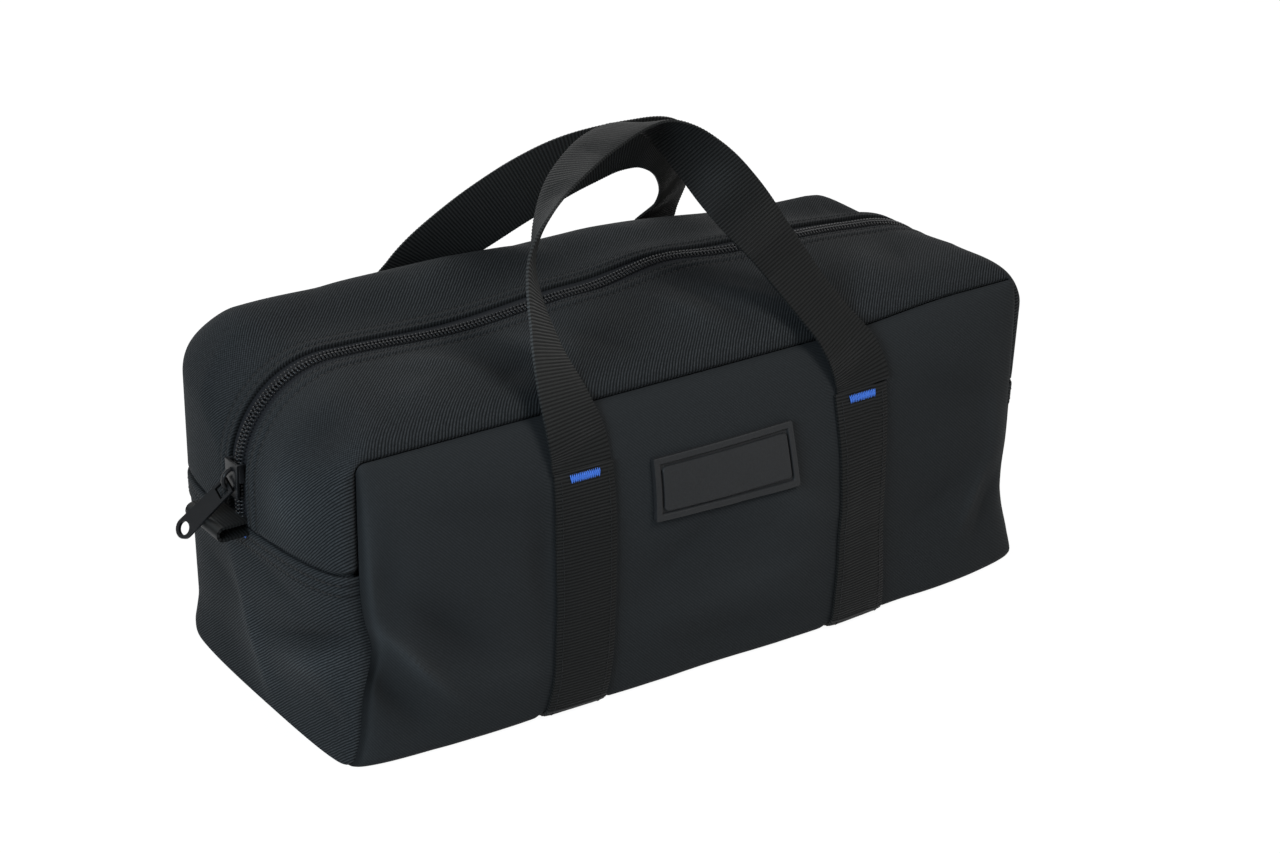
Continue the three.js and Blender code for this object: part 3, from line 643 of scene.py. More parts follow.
dark_thread = thread("black_thread", (0.0040, 0.0042, 0.0046), 0.6, 0.01)
seam_stitch = stitch_template(2.3, stitch_width, 0.26)
for face, side, name, end in quarters:
    rows = []
    for row in zip_rows:
        lie = face * (zip_edge + row)
        run = spaced(side, lambda run: 0 * run + lie, stitch_pitch, 2.998)
        axes = gusset_axes(side, run, lie)
        place = gusset_base(side, run, lie) - (hem_depth(row) - 0.02) * axes[2]
        rows.append((place, *axes))
    piece = strewn(f"{name}_zip_stitches_{end}", seam_stitch, rows, dark_thread)
    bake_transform(piece)

# Zipper tapes: a narrow woven tape under each folded edge, with the coil sewn along its
# inner edge.
tape_face = 1.35
tape_thickness = 0.6
tape_tuck = 7.0
tape_gap = 0.3


def woven_tape(name, colour):
    material, tree, shader = new_material(name)
    rows = bands(tree, cloth_uv(tree), 0, 0.9, 0.4)
    cords = bands(tree, cloth_uv(tree), 90, 0.7, 0.4)
    weave = reckon(tree, "MULTIPLY", rows, cords)
    feed(tree, shader, {
        "Base Color": two_tone(tree, weave, colour, 0.6, 1.6), "Roughness": 0.7,
        "Specular IOR Level": 0.12, "Sheen Weight": 0.02, "Normal": raised(tree, weave, 0.15, 0.5),
    })
    return material


tape_cloth = woven_tape("zipper_tape", (0.0078, 0.0086, 0.0106))
run = run_steps(12, 26, 50)
for face, side, name, end in quarters:
    inner_edge = zip_line(side, run) + tape_gap * face
    outer_edge = face * (zip_edge + tape_tuck)
    across = inner_edge + (outer_edge - inner_edge) * np.linspace(0, 1, 12).reshape(1, -1)
    behind = behind_hem(side, run, across)[..., None]
    outer = gusset_place(side, run, across, tape_face + behind)
    inner = gusset_place(side, run, across, tape_face + tape_thickness + behind)
    piece = shell(f"{name}_tape_{end}", outer, inner, lengths(outer, 0), across, tape_cloth)
    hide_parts(f"{name}_zip_tape_{end}_end", f"{name}_zip_tape_top")
    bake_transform(piece)

# Zipper teeth: two wound nylon coils that lock along the middle line. Each turn of a coil
# is one slanted loop, and the two sides sit half a turn apart.
coil_pitch = 1.55
coil_sink = 0.35
# the loop of one turn: place along, across and up, and thickness share
tooth_rings = [
    (-0.36, -0.22, -0.55, 0.62), (-0.28, 0.0, 0.15, 0.95), (-0.04, 0.8, 0.78, 1.0),
    (0.16, 1.8, 0.72, 1.0), (0.36, 2.62, 0.10, 0.95), (0.40, 2.8, -0.6, 0.62),
]


def tooth_template():
    rings = []
    for along, wide, up, size in tooth_rings:
        ring = []
        for turn in np.arange(6) * math.pi / 3:
            lift = up + 0.38 * size * math.sin(turn) - 0.3
            ring.append((along + 0.43 * size * math.cos(turn), wide, lift))
        rings.append(ring)
    return swept(rings)


def nylon(name, colour):
    material, tree, shader = new_material(name)
    cloud = mottle(tree, 2.2)
    feed(tree, shader, {
        "Base Color": two_tone(tree, cloud, colour, 0.7, 1.4), "Roughness": 0.2,
        "Specular IOR Level": 0.14, "Normal": raised(tree, cloud, 0.03, 0.4),
    })
    return material


coil_nylon = nylon("coil_nylon", (0.0072, 0.0078, 0.0090))
tooth = tooth_template()
for face, side, name, end in quarters:
    run = spaced(side, lambda run: zip_line(side, run), coil_pitch, 2.9999)
    middle = zip_line(side, run)
    along, wide, out = gusset_axes(side, run, middle)
    shift = -0.25 * coil_pitch * face * side
    place = gusset_base(side, run, middle) + shift * along - coil_sink * out
    piece = strewn(f"{name}_teeth_{end}", tooth, [(place, -side * along, face * wide, out)], coil_nylon)
    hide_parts(f"{name}_zip_coil_{end}_end", f"{name}_zip_coil_top")
    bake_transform(piece)

# End panels: one piece of the cloth low on each end. Its top edge is folded over, lies on
# the gusset and is sewn down with two rows of black stitches.
fold_base = 75.2
hem_rows = (3.4, 7.6)
hem_width = 9.6
hem_lift = 0.9
stitch_lift = 0.62
# folds of each end: middle across, middle up, half length, half height, turn, how far out
panel_folds = {
    -1: [(-46, 48, 30, 4, -20, -4.6), (-46, 37, 28, 7, -20, 3.4), (1, 28, 34, 8, 70, 2.8),
         (-22, 62, 24, 6, 10, -1.2), (24, 44, 24, 12, 14, -1.6), (-52, 18, 14, 7, 30, -1.4)],
    1: [(-40, 42, 22, 5, 14, -2.6), (24, 44, 24, 10, -12, -1.8), (-10, 22, 26, 7, 6, 1.4)],
}


def panel_out(side, y, z):
    inside = (1 - toward_edge(y) ** 8) * ramp(z, 0, 12) * ramp(z, fold_base, fold_base - 10)
    return folded(y, z, panel_folds[side]) * inside


def panel_place(side, z, across, lift):
    a = np.clip(across, -1, 1)
    s = end_round(a)
    y = a * end_half(z)
    reach = end_swell_low + (end_swell - end_swell_low) * np.sin(ramp(z, 0, fold_base) * math.pi / 2)
    out = panel_out(side, y, z) + 0.5 * uneven(y, z, 24, 5.0 + side) * ramp(z, 0, 12)
    x = half_length + reach * s + (out + lift) * s ** 0.6
    return stacked(tapered(side * x, y, z), y, z)


hem_stitch = stitch_template(2.4, stitch_width, 0.28)
end_cloth = twill("end_cloth", cloth_colour, -52, 1.4)
places = np.sin(np.linspace(-math.pi / 2, math.pi / 2, 81)).reshape(1, -1)
low = bottom_round * (1 - np.cos(np.linspace(0, math.pi / 2, 9))).reshape(-1, 1)
share = np.concatenate([np.linspace(0, 0.84, 34)[1:], np.linspace(0.84, 1, 22)[1:]]).reshape(-1, 1)
top = fold_height(places * half_width)
z = np.concatenate([low + 0 * top, bottom_round + (top - bottom_round) * share])
below = top - z
hem = hem_lift * ramp(below, hem_width, hem_width - 0.8) - 0.7 * hump(below, 0, 0.5)
hem = hem - 0.3 * sum(hump(below, row, 0.7) for row in hem_rows)
# painted shade along the hem's stitch rows
painted_line_shade = 0.9 * sum(hump(below, row, 0.6) for row in hem_rows)
for side, end in end_words.items():
    outer = panel_place(side, z, places, hem)
    inner = panel_place(side, z, places, -cloth)
    y = outer[..., 1]
    # painted light and shade on the panel's folds, less the painted shade on the left end's rear half and
    # along the stitches
    crest = fold_light_and_shade(panel_out(side, y, z)) - painted_end_shade(side, y) - painted_line_shade
    panel = shell(f"{end}_panel", outer, inner, y, z, end_cloth, {"crest": crest})
    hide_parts(f"{end}_end_panel")
    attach(panel, "bag_body")
    rows = []
    tiny = 0.1
    for row in hem_rows:
        y = np.arange(-61, 61.1, stitch_pitch)
        height = fold_height(y) - row
        spot = panel_place(side, height, y / half_width, stitch_lift)
        ahead = panel_place(side, fold_height(y + tiny) - row, (y + tiny) / half_width, stitch_lift)
        above = panel_place(side, height + tiny, y / half_width, stitch_lift)
        along = unit(ahead - spot)
        up = unit(above - spot)
        rows.append((spot, along, up, unit(np.cross(along, up) * side)))
    piece = strewn(f"{end}_hem_stitches", hem_stitch, rows, dark_thread)
    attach(piece, "bag_body")

# Straps: ribbed webbing sewn flat on the wrap, from the front tacks under the bottom to
# the rear tacks, with a row of black stitches along each edge.
strap_top = 103.4
rib_pitch = 1.3
rib_height = 0.12
rib_step = rib_pitch / 4
webbing_colour = (0.0092, 0.0093, 0.0091)
# eleven lines along the webbing, with its edges thinned
shares = np.linspace(-1, 1, 11)
webbing_lines = shares * webbing_width / 2
webbing_edge = 0.35 * np.abs(shares) ** 8


def ribbed(name, colour):
    material, tree, shader = new_material(name)
    rib = bands(tree, cloth_uv(tree), 0, rib_pitch, 0.0)
    cords = bands(tree, cloth_uv(tree), 90, 0.62, 0.8)
    cords = reckon(tree, "ADD", reckon(tree, "MULTIPLY", cords, 0.35), 0.65)
    tone = reckon(tree, "MULTIPLY", reckon(tree, "MULTIPLY", rib, cords), 0.8)
    tone = reckon(tree, "ADD", tone, reckon(tree, "MULTIPLY", mottle(tree, 0.8, 2), 0.25))
    feed(tree, shader, {
        "Base Color": painted_light_and_shade(tree, two_tone(tree, tone, colour, 0.35, 2.2)),
        "Roughness": 0.45, "Specular IOR Level": 0.05,
        "Sheen Weight": 0.01, "Sheen Roughness": 0.4, "Normal": raised(tree, tone, 0.16, 0.5),
    })
    return material


def ribs(far):
    return -np.cos(2 * math.pi * far / rib_pitch) * rib_height


def sampled(path, far, spots):
    return np.stack([np.interp(spots, far, path[:, k]) for k in range(3)], -1)


strap_webbing = ribbed("ribbed_webbing", webbing_colour)
edge_stitch = stitch_template(2.2, 0.45, 0.22)
for side, end in end_words.items():
    columns = []
    for aside in webbing_lines:
        line = wrap_outline([side * strap_middle + aside], 5)[0]
        columns.append(line[line[:, 2] <= strap_top])
    count = max(int(lengths(line, 0)[-1] / rib_step) for line in columns)
    grid = []
    for line in columns:
        far = lengths(line, 0)
        grid.append(sampled(line, far, np.linspace(0, far[-1], count + 1)))
    grid = np.stack(grid, 1)
    out = outward(grid, (side * strap_middle, 0, 60))
    far = lengths(grid[:, 5], 0).reshape(-1, 1)
    outer = grid + out * (gap + webbing - webbing_edge + ribs(far))[..., None]
    strap = shell(f"{end}_webbing_strap", outer, grid + out * gap, far, webbing_lines, strap_webbing)
    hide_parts(f"{end}_strap")
    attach(strap, "bag_body")
    rows = []
    picks = np.arange(14, count - 14, int(round(stitch_pitch / rib_step)))
    for column in (1, 9):
        spot = (grid + out * (gap + webbing + 0.02))[picks, column]
        along = unit(np.gradient(grid, axis=0)[picks, column])
        up = out[picks, column]
        rows.append((spot, along, np.cross(up, along), up))
    piece = strewn(f"{end}_strap_stitches", edge_stitch, rows, dark_thread)
    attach(piece, "bag_body")

# Bar tacks: blue thread in a close zigzag across the end of each strap, where the load of
# the handle goes into the strap. A short one holds each end tab.
tack_length = 12.6
tack_height = 3.0
tack_turns = 30
tack_thread = 0.5
tack_drop = 3.2
tack_lift = 0.3
tab_tack_length = 6.0
tab_tack_height = 1.7
tab_tack_turns = 13
tab_tack_thread = 0.55
tab_tack_drop = 3.0
tab_tack_lift = 1.15
tab_tack_aside = 1.0


def wall_place(x, z, face, lift):
    tiny = 0.2
    y = wall_out(x, z, face)
    slope_x = (wall_out(x + tiny, z, face) - wall_out(x - tiny, z, face)) / (2 * tiny)
    slope_z = (wall_out(x, z + tiny, face) - wall_out(x, z - tiny, face)) / (2 * tiny)
    normal = unit(stacked(-slope_x, face, -slope_z))
    return stacked(tapered(x, face * y, z), face * y, z) + lift * normal, normal


def zigzag(name, spot, along, up, out, length, height, turns, thick):
    rows = []
    for k in range(turns):
        x0 = length * (k / turns - 0.5)
        x1 = length * ((k + 1) / turns - 0.5)
        tall = height * (0.92 + 0.08 * math.sin(2.3 * k)) * (1 if k % 2 else -1)
        run = along * (x1 - x0) + up * tall
        parts = (spot((x0 + x1) / 2, 0.0), run * 1.12, np.cross(out, unit(run)), out)
        rows.append([np.atleast_2d(part) for part in parts])
    return strewn(name, stitch_template(1, thick, thick * 0.62), rows, blue)


blue = thread("blue_thread", (0.060, 0.185, 0.68), 0.42, 0.1)
for face, side, name, end in quarters:
    middle = side * strap_middle
    height = strap_top - tack_drop

    def on_strap(along, up):
        return wall_place(middle + along, height + up, face, gap + webbing + tack_lift)[0]

    normal = wall_place(middle, height, face, 0)[1]
    along = np.array((1.0, 0, 0))
    up = np.cross(normal, along)
    up = up * np.sign(up[2])
    piece = zigzag(
        f"{name}_{end}_tack", on_strap, along, up, normal,
        tack_length, tack_height, tack_turns, tack_thread,
    )
    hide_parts(f"{name}_{end}_bartack")
    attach(piece, "bag_body")

for side, end in end_words.items():
    def on_panel(along, up):
        y = side * tab_tack_aside + along
        z = fold_height(y) - tab_tack_drop + up
        return panel_place(side, z, y / half_width, tab_tack_lift)

    along, up, out = np.array(((0, 1.0, 0), (0, 0, 1.0), (side, 0, 0)))
    piece = zigzag(
        f"{end}_tab_tack", on_panel, along, up, out,
        tab_tack_length, tab_tack_height, tab_tack_turns, tab_tack_thread,
    )
    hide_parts(f"{end}_tab_bartack")
    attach(piece, "bag_body")

# Handles: the same ribbed webbing goes on above each pair of tacks as a loop. The front
# loop twists over at its top, and the back loop lies over in a low arch.
leg_lean = math.radians(12.61)
loop_lean = math.radians(35.5)
root_out = 76.569
root_height = 101.54
leg_rise = 21.0
handle_rise = 124.0
handle_bend = 14.0
handle_start = 2.1
# along from strap to strap, up, turn in degrees, width share
front_loop = [
    (-1, 0, 0, 1), (-1, 0.06, 2, 1), (-1.015, 0.13, 7, 1), (-1.03, 0.24, 17, 1),
    (-1.025, 0.41, 39, 0.97), (-0.96, 0.62, 57, 0.94), (-0.8, 0.75, 82, 0.95), (-0.55, 0.87, 107, 0.97),
    (-0.26, 0.952, 118, 0.95), (-0.02, 0.98, 114, 0.93), (0.13, 0.96, 98, 0.93),
    (0.25, 0.905, 80, 0.93), (0.37, 0.815, 60, 0.92), (0.485, 0.695, 30, 0.92),
    (0.618, 0.54, 0, 0.93), (0.768, 0.345, -11, 0.95), (0.872, 0.22, -11, 0.96),
    (0.95, 0.125, -6, 0.98), (0.99, 0.055, 0, 1), (1, 0, 0, 1),
]
rear_loop = [
    (-1, 0, 0, 1), (-0.985, 0.06, 0, 1), (-0.92, 0.125, 2, 1), (-0.83, 0.205, 10, 1),
    (-0.715, 0.314, 26, 1), (-0.47, 0.467, 40, 1), (-0.23, 0.583, 43, 1), (-0.02, 0.655, 36, 1),
    (0.19, 0.69, 26, 1), (0.4, 0.706, 18, 0.95), (0.62, 0.692, 18, 0.93), (0.81, 0.622, 26, 0.92),
    (0.955, 0.498, 32, 0.92), (1.035, 0.36, 24, 0.95), (1.02, 0.2, 6, 1), (1, 0.08, 0, 1), (1, 0, 0, 1),
]


def loop_place(along, rise):
    leg = np.minimum(rise, leg_rise)
    rest = rise - leg
    y = leg * math.sin(leg_lean) + rest * math.sin(loop_lean) - root_out
    z = root_height + leg * math.cos(leg_lean) + rest * math.cos(loop_lean)
    return stacked(along, y, z)


# a smooth curve through the points, which doesn't overshoot where they lie close
def through(points, places):
    p = np.concatenate([[2 * points[0] - points[1]], points, [2 * points[-1] - points[-2]]])
    out = []
    for place in places:
        k = min(len(points) - 2, int(place))
        t = place - k
        p0, p1, p2, p3 = p[k:k + 4]
        d0, d1, d2 = (max(1e-4, np.linalg.norm(b - a) ** 0.5) for a, b in ((p0, p1), (p1, p2), (p2, p3)))
        m1 = ((p1 - p0) / d0 - (p2 - p0) / (d0 + d1) + (p2 - p1) / d1) * d1
        m2 = ((p2 - p1) / d1 - (p3 - p1) / (d1 + d2) + (p3 - p2) / d2) * d1
        out.append(
            (2 * t**3 - 3 * t**2 + 1) * p1 + (t**3 - 2 * t**2 + t) * m1
            + (3 * t**2 - 2 * t**3) * p2 + (t**3 - t**2) * m2
        )
    return np.array(out)


def along_loop(where, values):
    soft = np.hanning(61) / np.hanning(61).sum()
    between_knots = np.interp(where, np.arange(len(values)), values)
    return np.convolve(np.pad(between_knots, 30, mode="edge"), soft, mode="valid")


for face, loop in ((-1, front_loop), (1, rear_loop)):
    table = np.array(loop, float)
    knots = loop_place(table[:, 0] * strap_middle, table[:, 1] * handle_rise)
    places = np.linspace(0, len(loop) - 1, 4000)
    path = through(knots, places)
    far = lengths(path, 0)
    spots = np.linspace(handle_start, far[-1] - handle_start, int(far[-1] / rib_step) + 1)
    middle = sampled(path, far, spots)
    where = np.interp(spots, far, places)
    turn = np.radians(along_loop(where, table[:, 2]))[:, None]
    tangent = unit(np.gradient(middle, axis=0))
    lean = leg_lean + (loop_lean - leg_lean) * ramp(middle[:, 2], 116, 128)
    inside = unit(np.cross(tangent, stacked(0, -np.cos(lean), np.sin(lean))))
    normal = np.cross(inside, tangent) * np.cos(turn) + inside * np.sin(turn)
    across = np.cross(tangent, normal) * along_loop(where, table[:, 3])[:, None]
    base = middle[:, None, :] + across[:, None, :] * webbing_lines[None, :, None]
    thick = (webbing / 2 - webbing_edge + ribs(spots)[:, None])[..., None]
    outer = base + normal[:, None, :] * thick
    inner = base - normal[:, None, :] * thick
    outer[..., 1] *= -face
    inner[..., 1] *= -face
    # painted sheen: the left leg of the front loop is painted paler high up
    painted_sheen = 3.6 * hump(middle[:, 2], 152, 26) * ramp(middle[:, 0], 0, -20) * (face < 0)
    marks = {"crest": painted_sheen[:, None]}
    name = face_words[face]
    handle = shell(f"{name}_loop", outer, inner, spots[:, None], webbing_lines, strap_webbing, marks)
    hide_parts(f"{name}_handle")
    root = (0, face * root_out * 0.001, (root_height + handle_start) * 0.001)
    bend_end = loop_place(0.0, handle_bend) * 0.001
    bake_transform(handle)

# End tabs: a short loop of the webbing, folded double and caught under the end panel's
# edge, to hold on to while the zipper is pulled.
tab_length = 11.0
tab_shift = 6.0
tab_half = 1.6
tab_thickness = 1.45
tab_root = 4.0
root = half_length + end_swell - tab_root
tip = half_length + end_swell + gap + tab_length - tab_half
foot = fold_base + gap
turn = math.pi * np.arange(1, 12) / 12 - math.pi / 2
flat = np.linspace(root, tip, 34)
tab_x = np.concatenate([flat, tip + tab_half * np.cos(turn), np.linspace(tip, root, 34)])
tab_z = np.concatenate([0 * flat, tab_half + tab_half * np.sin(turn), 0 * flat + 2 * tab_half])
path = stacked(tab_x, 0.0, foot + tab_z)
far = lengths(path, 0)
spots = np.arange(0, far[-1], rib_step)
path = sampled(path, far, spots)
width_way = np.array((0, 1.0, 0))
out = np.cross(unit(np.gradient(path, axis=0)), width_way)[:, None, :]
base = path[:, None, :] + width_way * webbing_lines[None, :, None]
for side, end in end_words.items():
    outer = base + out * (ribs(spots)[:, None] - webbing_edge)[..., None]
    inner = base - out * tab_thickness
    for part in (outer, inner):
        part[..., 0] *= side
        part[..., 1] -= side * tab_shift
    tab = shell(f"{end}_pull_loop", outer, inner, spots[:, None], webbing_lines, strap_webbing)
    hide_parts(f"{end}_end_tab")
    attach(tab, "bag_body")

# Patch: a moulded dark rubber plate sewn on the front between the straps, with a groove
# inside its rim and a plain field.
patch_length = 65.0
patch_height = 24.5
patch_thickness = 2.0
patch_middle = 87.0
patch_aside = -3.2
patch_corner = 1.0
patch_rim = 2.6
patch_groove = 1.3
groove_depth = 1.1
groove_corner = 1.6
groove_slope = 0.35
patch_tilt = math.radians(-0.2)


def rubber(name, colour):
    material, tree, shader = new_material(name)
    grain = mottle(tree, 0.8, 4)
    tone = reckon(tree, "MULTIPLY", grain, reckon(tree, "ADD", mottle(tree, 18), 0.5))
    feed(tree, shader, {
        "Base Color": two_tone(tree, tone, colour, 0.7, 1.5), "Roughness": 0.5,
        "Specular IOR Level": 0.2, "Normal": raised(tree, grain, 0.06, 0.4),
    })
    return material


# how far a point lies inside a rectangle with round corners
def inside_round(u, v, half_u, half_v, corner):
    over_u = np.abs(u) - (half_u - corner)
    over_v = np.abs(v) - (half_v - corner)
    past = np.hypot(np.maximum(over_u, 0), np.maximum(over_v, 0))
    return corner - past - np.minimum(np.maximum(over_u, over_v), 0)


half_u = patch_length / 2
half_v = patch_height / 2
u = np.linspace(-half_u, half_u, 221).reshape(-1, 1)
v = np.linspace(-half_v, half_v, 91).reshape(1, -1)
corner_u = np.maximum(0, np.abs(u) - (half_u - patch_corner))
corner_v = np.maximum(0, np.abs(v) - (half_v - patch_corner))
pulled = np.maximum(np.hypot(corner_u, corner_v), 1e-6)
shrink = np.minimum(1, np.maximum(corner_u, corner_v) / pulled)
round_u = np.sign(u) * (np.abs(u) - corner_u + corner_u * shrink)
round_v = np.sign(v) * (np.abs(v) - corner_v + corner_v * shrink)
edge = np.maximum(0, inside_round(round_u, round_v, half_u, half_v, patch_corner))
inset = patch_rim + patch_groove
field = inside_round(round_u, round_v, half_u - inset, half_v - inset, groove_corner)
rise = patch_thickness * (0.5 + 0.5 * np.sqrt(1 - (1 - ramp(edge, 0, 0.5)) ** 2))
groove = ramp(edge - patch_rim, 0, groove_slope) * ramp(field, 0, -groove_slope)
rise = rise - groove_depth * groove
x = patch_aside + round_u * math.cos(patch_tilt) - round_v * math.sin(patch_tilt)
z = patch_middle + round_u * math.sin(patch_tilt) + round_v * math.cos(patch_tilt)
base, normal = wall_place(x, z, -1, gap)
patch_rubber = rubber("moulded_rubber", (0.0125, 0.0129, 0.0137))
patch = shell("patch", base + normal * rise[..., None], base, u, v, patch_rubber)
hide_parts("rubber_patch")
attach(patch, "bag_body")

# Slider: the black painted metal runner on the zipper, closed at the left end. Its cover
# is wide where the two coils come in, its lips reach down beside them, and a bridge on
# the cover holds the pull.
slider_foot = half_length + end_swell + 1.1
slider_height = 95.0
cover_size = (9.4, 1.2, 14)
cover_narrow = 0.80
lip_size = (1.2, 2.0, 7.2)
lip_place = (4.1, -0.9, 3.4)
bridge_radius = 4.2
bridge_half = 0.85
bridge_foot = 0.7
worn_metal = (0.055, 0.055, 0.058)


def painted(name, colour):
    material, tree, shader = new_material(name)
    cloud = mottle(tree, 3.0)
    corners = add(tree, "NewGeometry", {}).outputs["Pointiness"]
    wear = add(tree, "ValToRGB", {"Fac": corners})
    wear.color_ramp.elements[0].position = 0.58
    wear.color_ramp.elements[1].position = 0.82
    paint = two_tone(tree, cloud, colour, 0.8, 1.2)
    feed(tree, shader, {
        "Base Color": between(tree, wear.outputs["Color"], paint, worn_metal),
        "Metallic": 0.05, "Roughness": 0.3, "Specular IOR Level": 0.11,
        "Coat Weight": 0.02, "Coat Roughness": 0.15, "Normal": raised(tree, cloud, 0.02, 0.3),
    })
    return material


def block(place, size):
    bpy.ops.mesh.primitive_cube_add(size=1, location=place)
    obj = bpy.context.object
    obj.scale = size
    bpy.ops.object.transform_apply(location=True, rotation=True, scale=True)
    return obj


def apply_to(obj, modifier):
    bpy.ops.object.select_all(action="DESELECT")
    obj.select_set(True)
    bpy.context.view_layer.objects.active = obj
    bpy.ops.object.modifier_apply(modifier=modifier.name)


def round_edges(obj, width):
    bevel = obj.modifiers.new("rounding", "BEVEL")
    bevel.width = width
    bevel.segments = 3
    bevel.limit_method = "ANGLE"
    bevel.angle_limit = math.radians(35)
    apply_to(obj, bevel)


def cut(obj, tool, kind="DIFFERENCE"):
    step = obj.modifiers.new("cut", "BOOLEAN")
    step.object = tool
    step.operation = kind
    step.solver = "EXACT"
    apply_to(obj, step)
    bpy.data.objects.remove(tool)


def on_axes(x_axis, y_axis, z_axis, place):
    return Matrix(((*x_axis, 0), (*y_axis, 0), (*z_axis, 0), (*place, 1))).transposed()


def settled(obj, name, place, material):
    obj.name = name
    obj.data.name = name
    obj.data.transform(Matrix.Scale(0.001, 4))
    obj.data.transform(place)
    obj.data.materials.clear()
    obj.data.materials.append(material)
    return smooth(obj, 34)


black_metal = painted("black_metal", (0.009, 0.009, 0.0095))
body = block((0, cover_size[1] / 2, 0), cover_size)
for point in body.data.vertices:
    if point.co.z < 0:
        point.co.x *= cover_narrow
for x in (-1, 1):
    cut(body, block((lip_place[0] * x, *lip_place[1:]), lip_size), "UNION")
round_edges(body, 0.38)
bpy.ops.mesh.primitive_torus_add(
    major_segments=40, minor_segments=14, major_radius=bridge_radius, minor_radius=bridge_half,
    location=(0, bridge_foot, 0), rotation=(0, math.pi / 2, 0),
)
bridge = bpy.context.object
bpy.ops.object.transform_apply(location=True, rotation=True, scale=True)
for point in bridge.data.vertices:
    point.co.y = bridge_foot + (point.co.y - bridge_foot) * 0.94
    point.co.x *= 1.15
cut(bridge, block((0, -5.4, 0), (12, 12, 14)))
cut(body, bridge, "UNION")
slider_place = on_axes((0, 1, 0), (-1, 0, 0), (0, 0, 1), (-slider_foot * 0.001, 0, slider_height * 0.001))
slider = settled(body, "slider", slider_place, black_metal)
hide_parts("zip_slider")
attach(slider, "zip_slider")

# Pull: a flat pressed plate of the same black metal, hooked under the bridge by its slot,
# with a round eye near its tip.
pull_length = 30.0
pull_width = 8.0
pull_thickness = 1.4
pull_eye = 5.2
pull_yaw = math.radians(30)
pull_lean = math.radians(31.5)
pull_hook = (-0.1697, 0.0, 0.0931)
eye_place = (0, pull_length - 4.7, 0)
slot_place = (0, 3.1, 0)
slot_size = (5.0, 4.8, 6)
pull = block((0, pull_length / 2 - 2.7, 0), (pull_width, pull_length - 4.0, pull_thickness))
for point in pull.data.vertices:
    if point.co.y < 5:
        point.co.x *= 0.86
bpy.ops.mesh.primitive_cylinder_add(
    vertices=40, radius=pull_width / 2, depth=pull_thickness, location=eye_place,
)
cut(pull, bpy.context.object, "UNION")
bpy.ops.mesh.primitive_cylinder_add(vertices=36, radius=pull_eye / 2, depth=6, location=eye_place)
cut(pull, bpy.context.object)
cut(pull, block(slot_place, slot_size))
round_edges(pull, 0.34)
axis = Vector((0, math.cos(pull_yaw), math.sin(pull_yaw)))
down = Vector((0, math.sin(pull_yaw), -math.cos(pull_yaw))) * math.cos(pull_lean)
down.x = -math.sin(pull_lean)
pull = settled(pull, "pull", on_axes(axis, down, axis.cross(down), pull_hook), black_metal)
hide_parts("pull_tab")
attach(pull, "pull_tab")

# Seam bindings: woven tape folded over the raw edges inside the front and rear seams.
# Each lies flat against its wall and goes down both end corners.
binding_foot = 16.0
binding_width = 8.0
binding_inset = 1.5
binding_thickness = 1.0
binding_cloth = woven_tape("binding_tape", (0.0145, 0.0150, 0.0155))
rows = []
for inset in (binding_inset, 3.5, 5.5, 7.5, binding_inset + binding_width):
    radius = max(gap, seam_corner - inset)
    reach = half_length - inset
    high = seam_height - inset
    turns = np.linspace(0, math.pi / 2, 13)
    half = [(reach, z) for z in np.linspace(binding_foot, high - radius, 24)[:-1]]
    half += [(reach - radius + radius * math.cos(t), high - radius + radius * math.sin(t)) for t in turns]
    half += [(x, high) for x in np.linspace(reach - radius, 0, 30)[1:]]
    rows.append([(-x, z) for x, z in half] + half[-2::-1])
x, flat_z = np.moveaxis(np.array(rows), -1, 0)
depth = half_width - binding_inset - 0.25 * np.sin(np.linspace(0, math.pi, 5)).reshape(-1, 1)
wide = np.linspace(0, binding_width, 5).reshape(-1, 1)
for face, name in face_words.items():
    y = face * depth + 0 * x
    z = flat_z + seam_rise(x, face) * ramp(flat_z, 60, 120)
    outer = stacked(tapered(x, y, z), y, z)
    inner = outer - np.array((0, face * binding_thickness, 0))
    binding = shell(f"{name}_binding", outer, inner, lengths(outer, 1), wide, binding_cloth)
    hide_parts(f"{name}_seam_binding")
    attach(binding, "bag_body")

# Floor and light: a white sheet under the bag and an even white surround, with a soft
# cool lamp on the left, one high in front on the right and a faint one behind.
floor_glow = 0.82
surround_light = 0.13
bpy.ops.mesh.primitive_plane_add(size=6, location=(0, 0, 0))
floor = bpy.context.object
floor.name = "floor"
floor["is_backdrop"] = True


def seen_white(tree):
    ray = add(tree, "LightPath", {}).outputs
    seen = reckon(tree, "MAXIMUM", ray["Is Camera Ray"], ray["Is Glossy Ray"])
    return reckon(tree, "MAXIMUM", seen, ray["Is Transmission Ray"])


def soft_light(name, place, aim, size, watts, colour):
    data = bpy.data.lights.new(name, "AREA")
    data.size = size
    data.energy = watts
    data.color = colour
    lamp = bpy.data.objects.new(name, data)
    bpy.context.collection.objects.link(lamp)
    lamp.location = place
    lamp.rotation_euler = (Vector(aim) - Vector(place)).to_track_quat("-Z", "Y").to_euler()


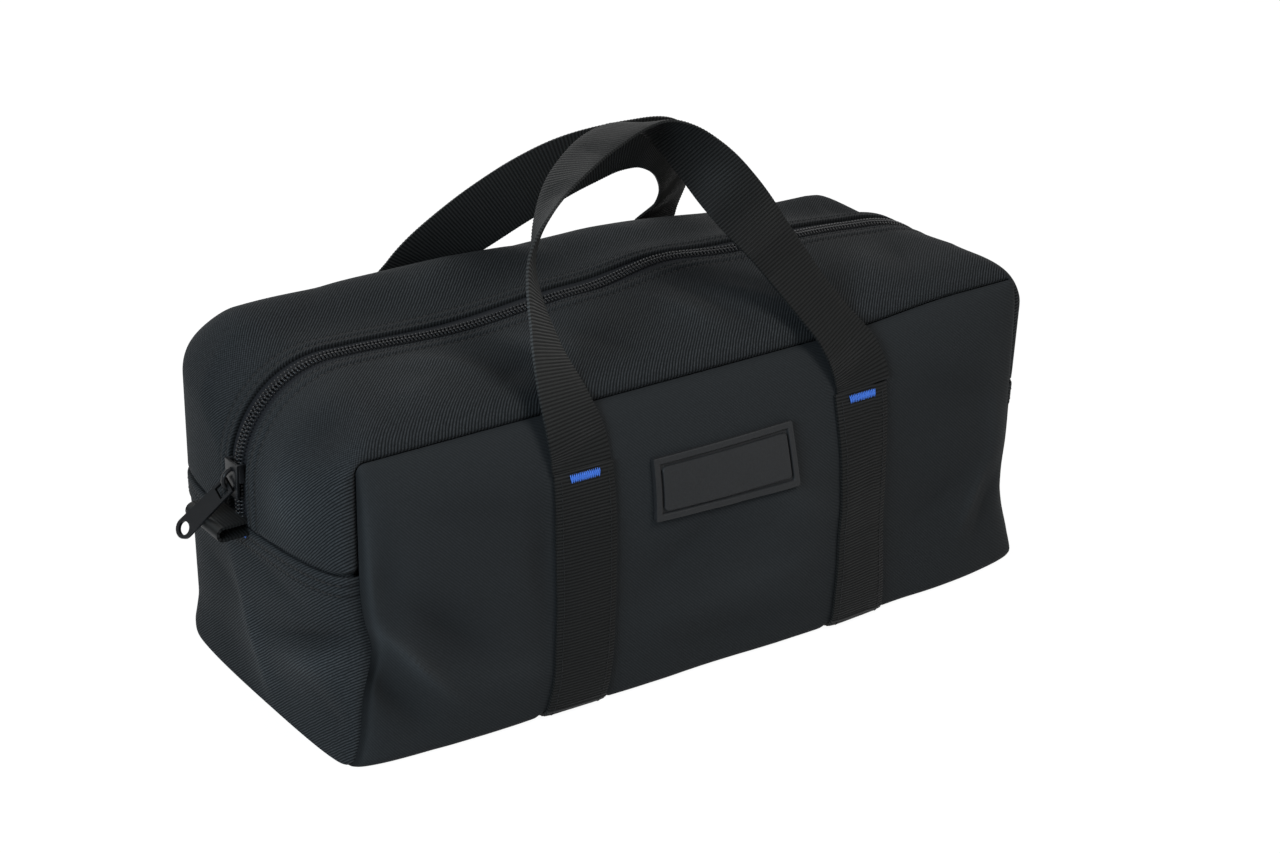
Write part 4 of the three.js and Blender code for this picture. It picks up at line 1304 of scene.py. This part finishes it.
material, tree, shader = new_material("white_sheet")
feed(tree, shader, {"Base Color": (0.58, 0.58, 0.58, 1), "Roughness": 0.9})
glow = add(tree, "Emission", {"Strength": 1.16})
share = reckon(tree, "MULTIPLY", seen_white(tree), floor_glow)
both = add(tree, "MixShader", {"Fac": share, 1: shader.outputs["BSDF"], 2: glow.outputs["Emission"]})
feed(tree, tree.nodes["Material Output"], {"Surface": both.outputs["Shader"]})
floor.data.materials.append(material)
world = bpy.data.worlds.new("surround")
bpy.context.scene.world = world
world.use_nodes = True
tree = world.node_tree
strength = add(tree, "Mix", {"Factor": seen_white(tree), "A": surround_light, "B": 1.0})
feed(tree, tree.nodes["Background"], {"Color": (1, 1, 1, 1), "Strength": strength.outputs["Result"]})
soft_light("left_lamp", (-1.28, -0.50, 0.64), (0, 0, 0.08), 0.7, 17.5, (0.77, 0.93, 1.05))
soft_light("front_lamp", (0.42, -1.02, 1.35), (0, 0, 0.1), 0.6, 13.5, (1, 0.99, 0.97))
soft_light("back_lamp", (-0.10, 0.95, 0.75), (0, 0, 0.1), 0.6, 3.0, (1, 0.99, 0.97))

# Camera: at the photograph's place, with a long lens. It looks down on the front from the
# left, and leans a little to one side.
azimuth = math.radians(-34.52)
elevation = math.radians(25.05)
roll = math.radians(0.59)
distance = 1.2097
target = Vector((0.01295, 0.0, 0.07002))
level = Vector((math.cos(azimuth), math.sin(azimuth), 0))
ahead = Vector((math.sin(azimuth), -math.cos(azimuth), 0))
back = ahead * math.cos(elevation) + Vector((0, 0, math.sin(elevation)))
upright = back.cross(level)
right = level * math.cos(roll) + upright * math.sin(roll)
upward = upright * math.cos(roll) - level * math.sin(roll)
lens = bpy.data.cameras.new("camera")
lens.lens = 85
lens.sensor_width = 36
lens.sensor_fit = "HORIZONTAL"
camera = bpy.data.objects.new("camera", lens)
bpy.context.collection.objects.link(camera)
camera.matrix_world = on_axes(right, upward, back, target + back * distance)
bpy.context.scene.camera = camera
bpy.context.scene.view_settings.view_transform = "Standard"

# the size, in metres
low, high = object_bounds()
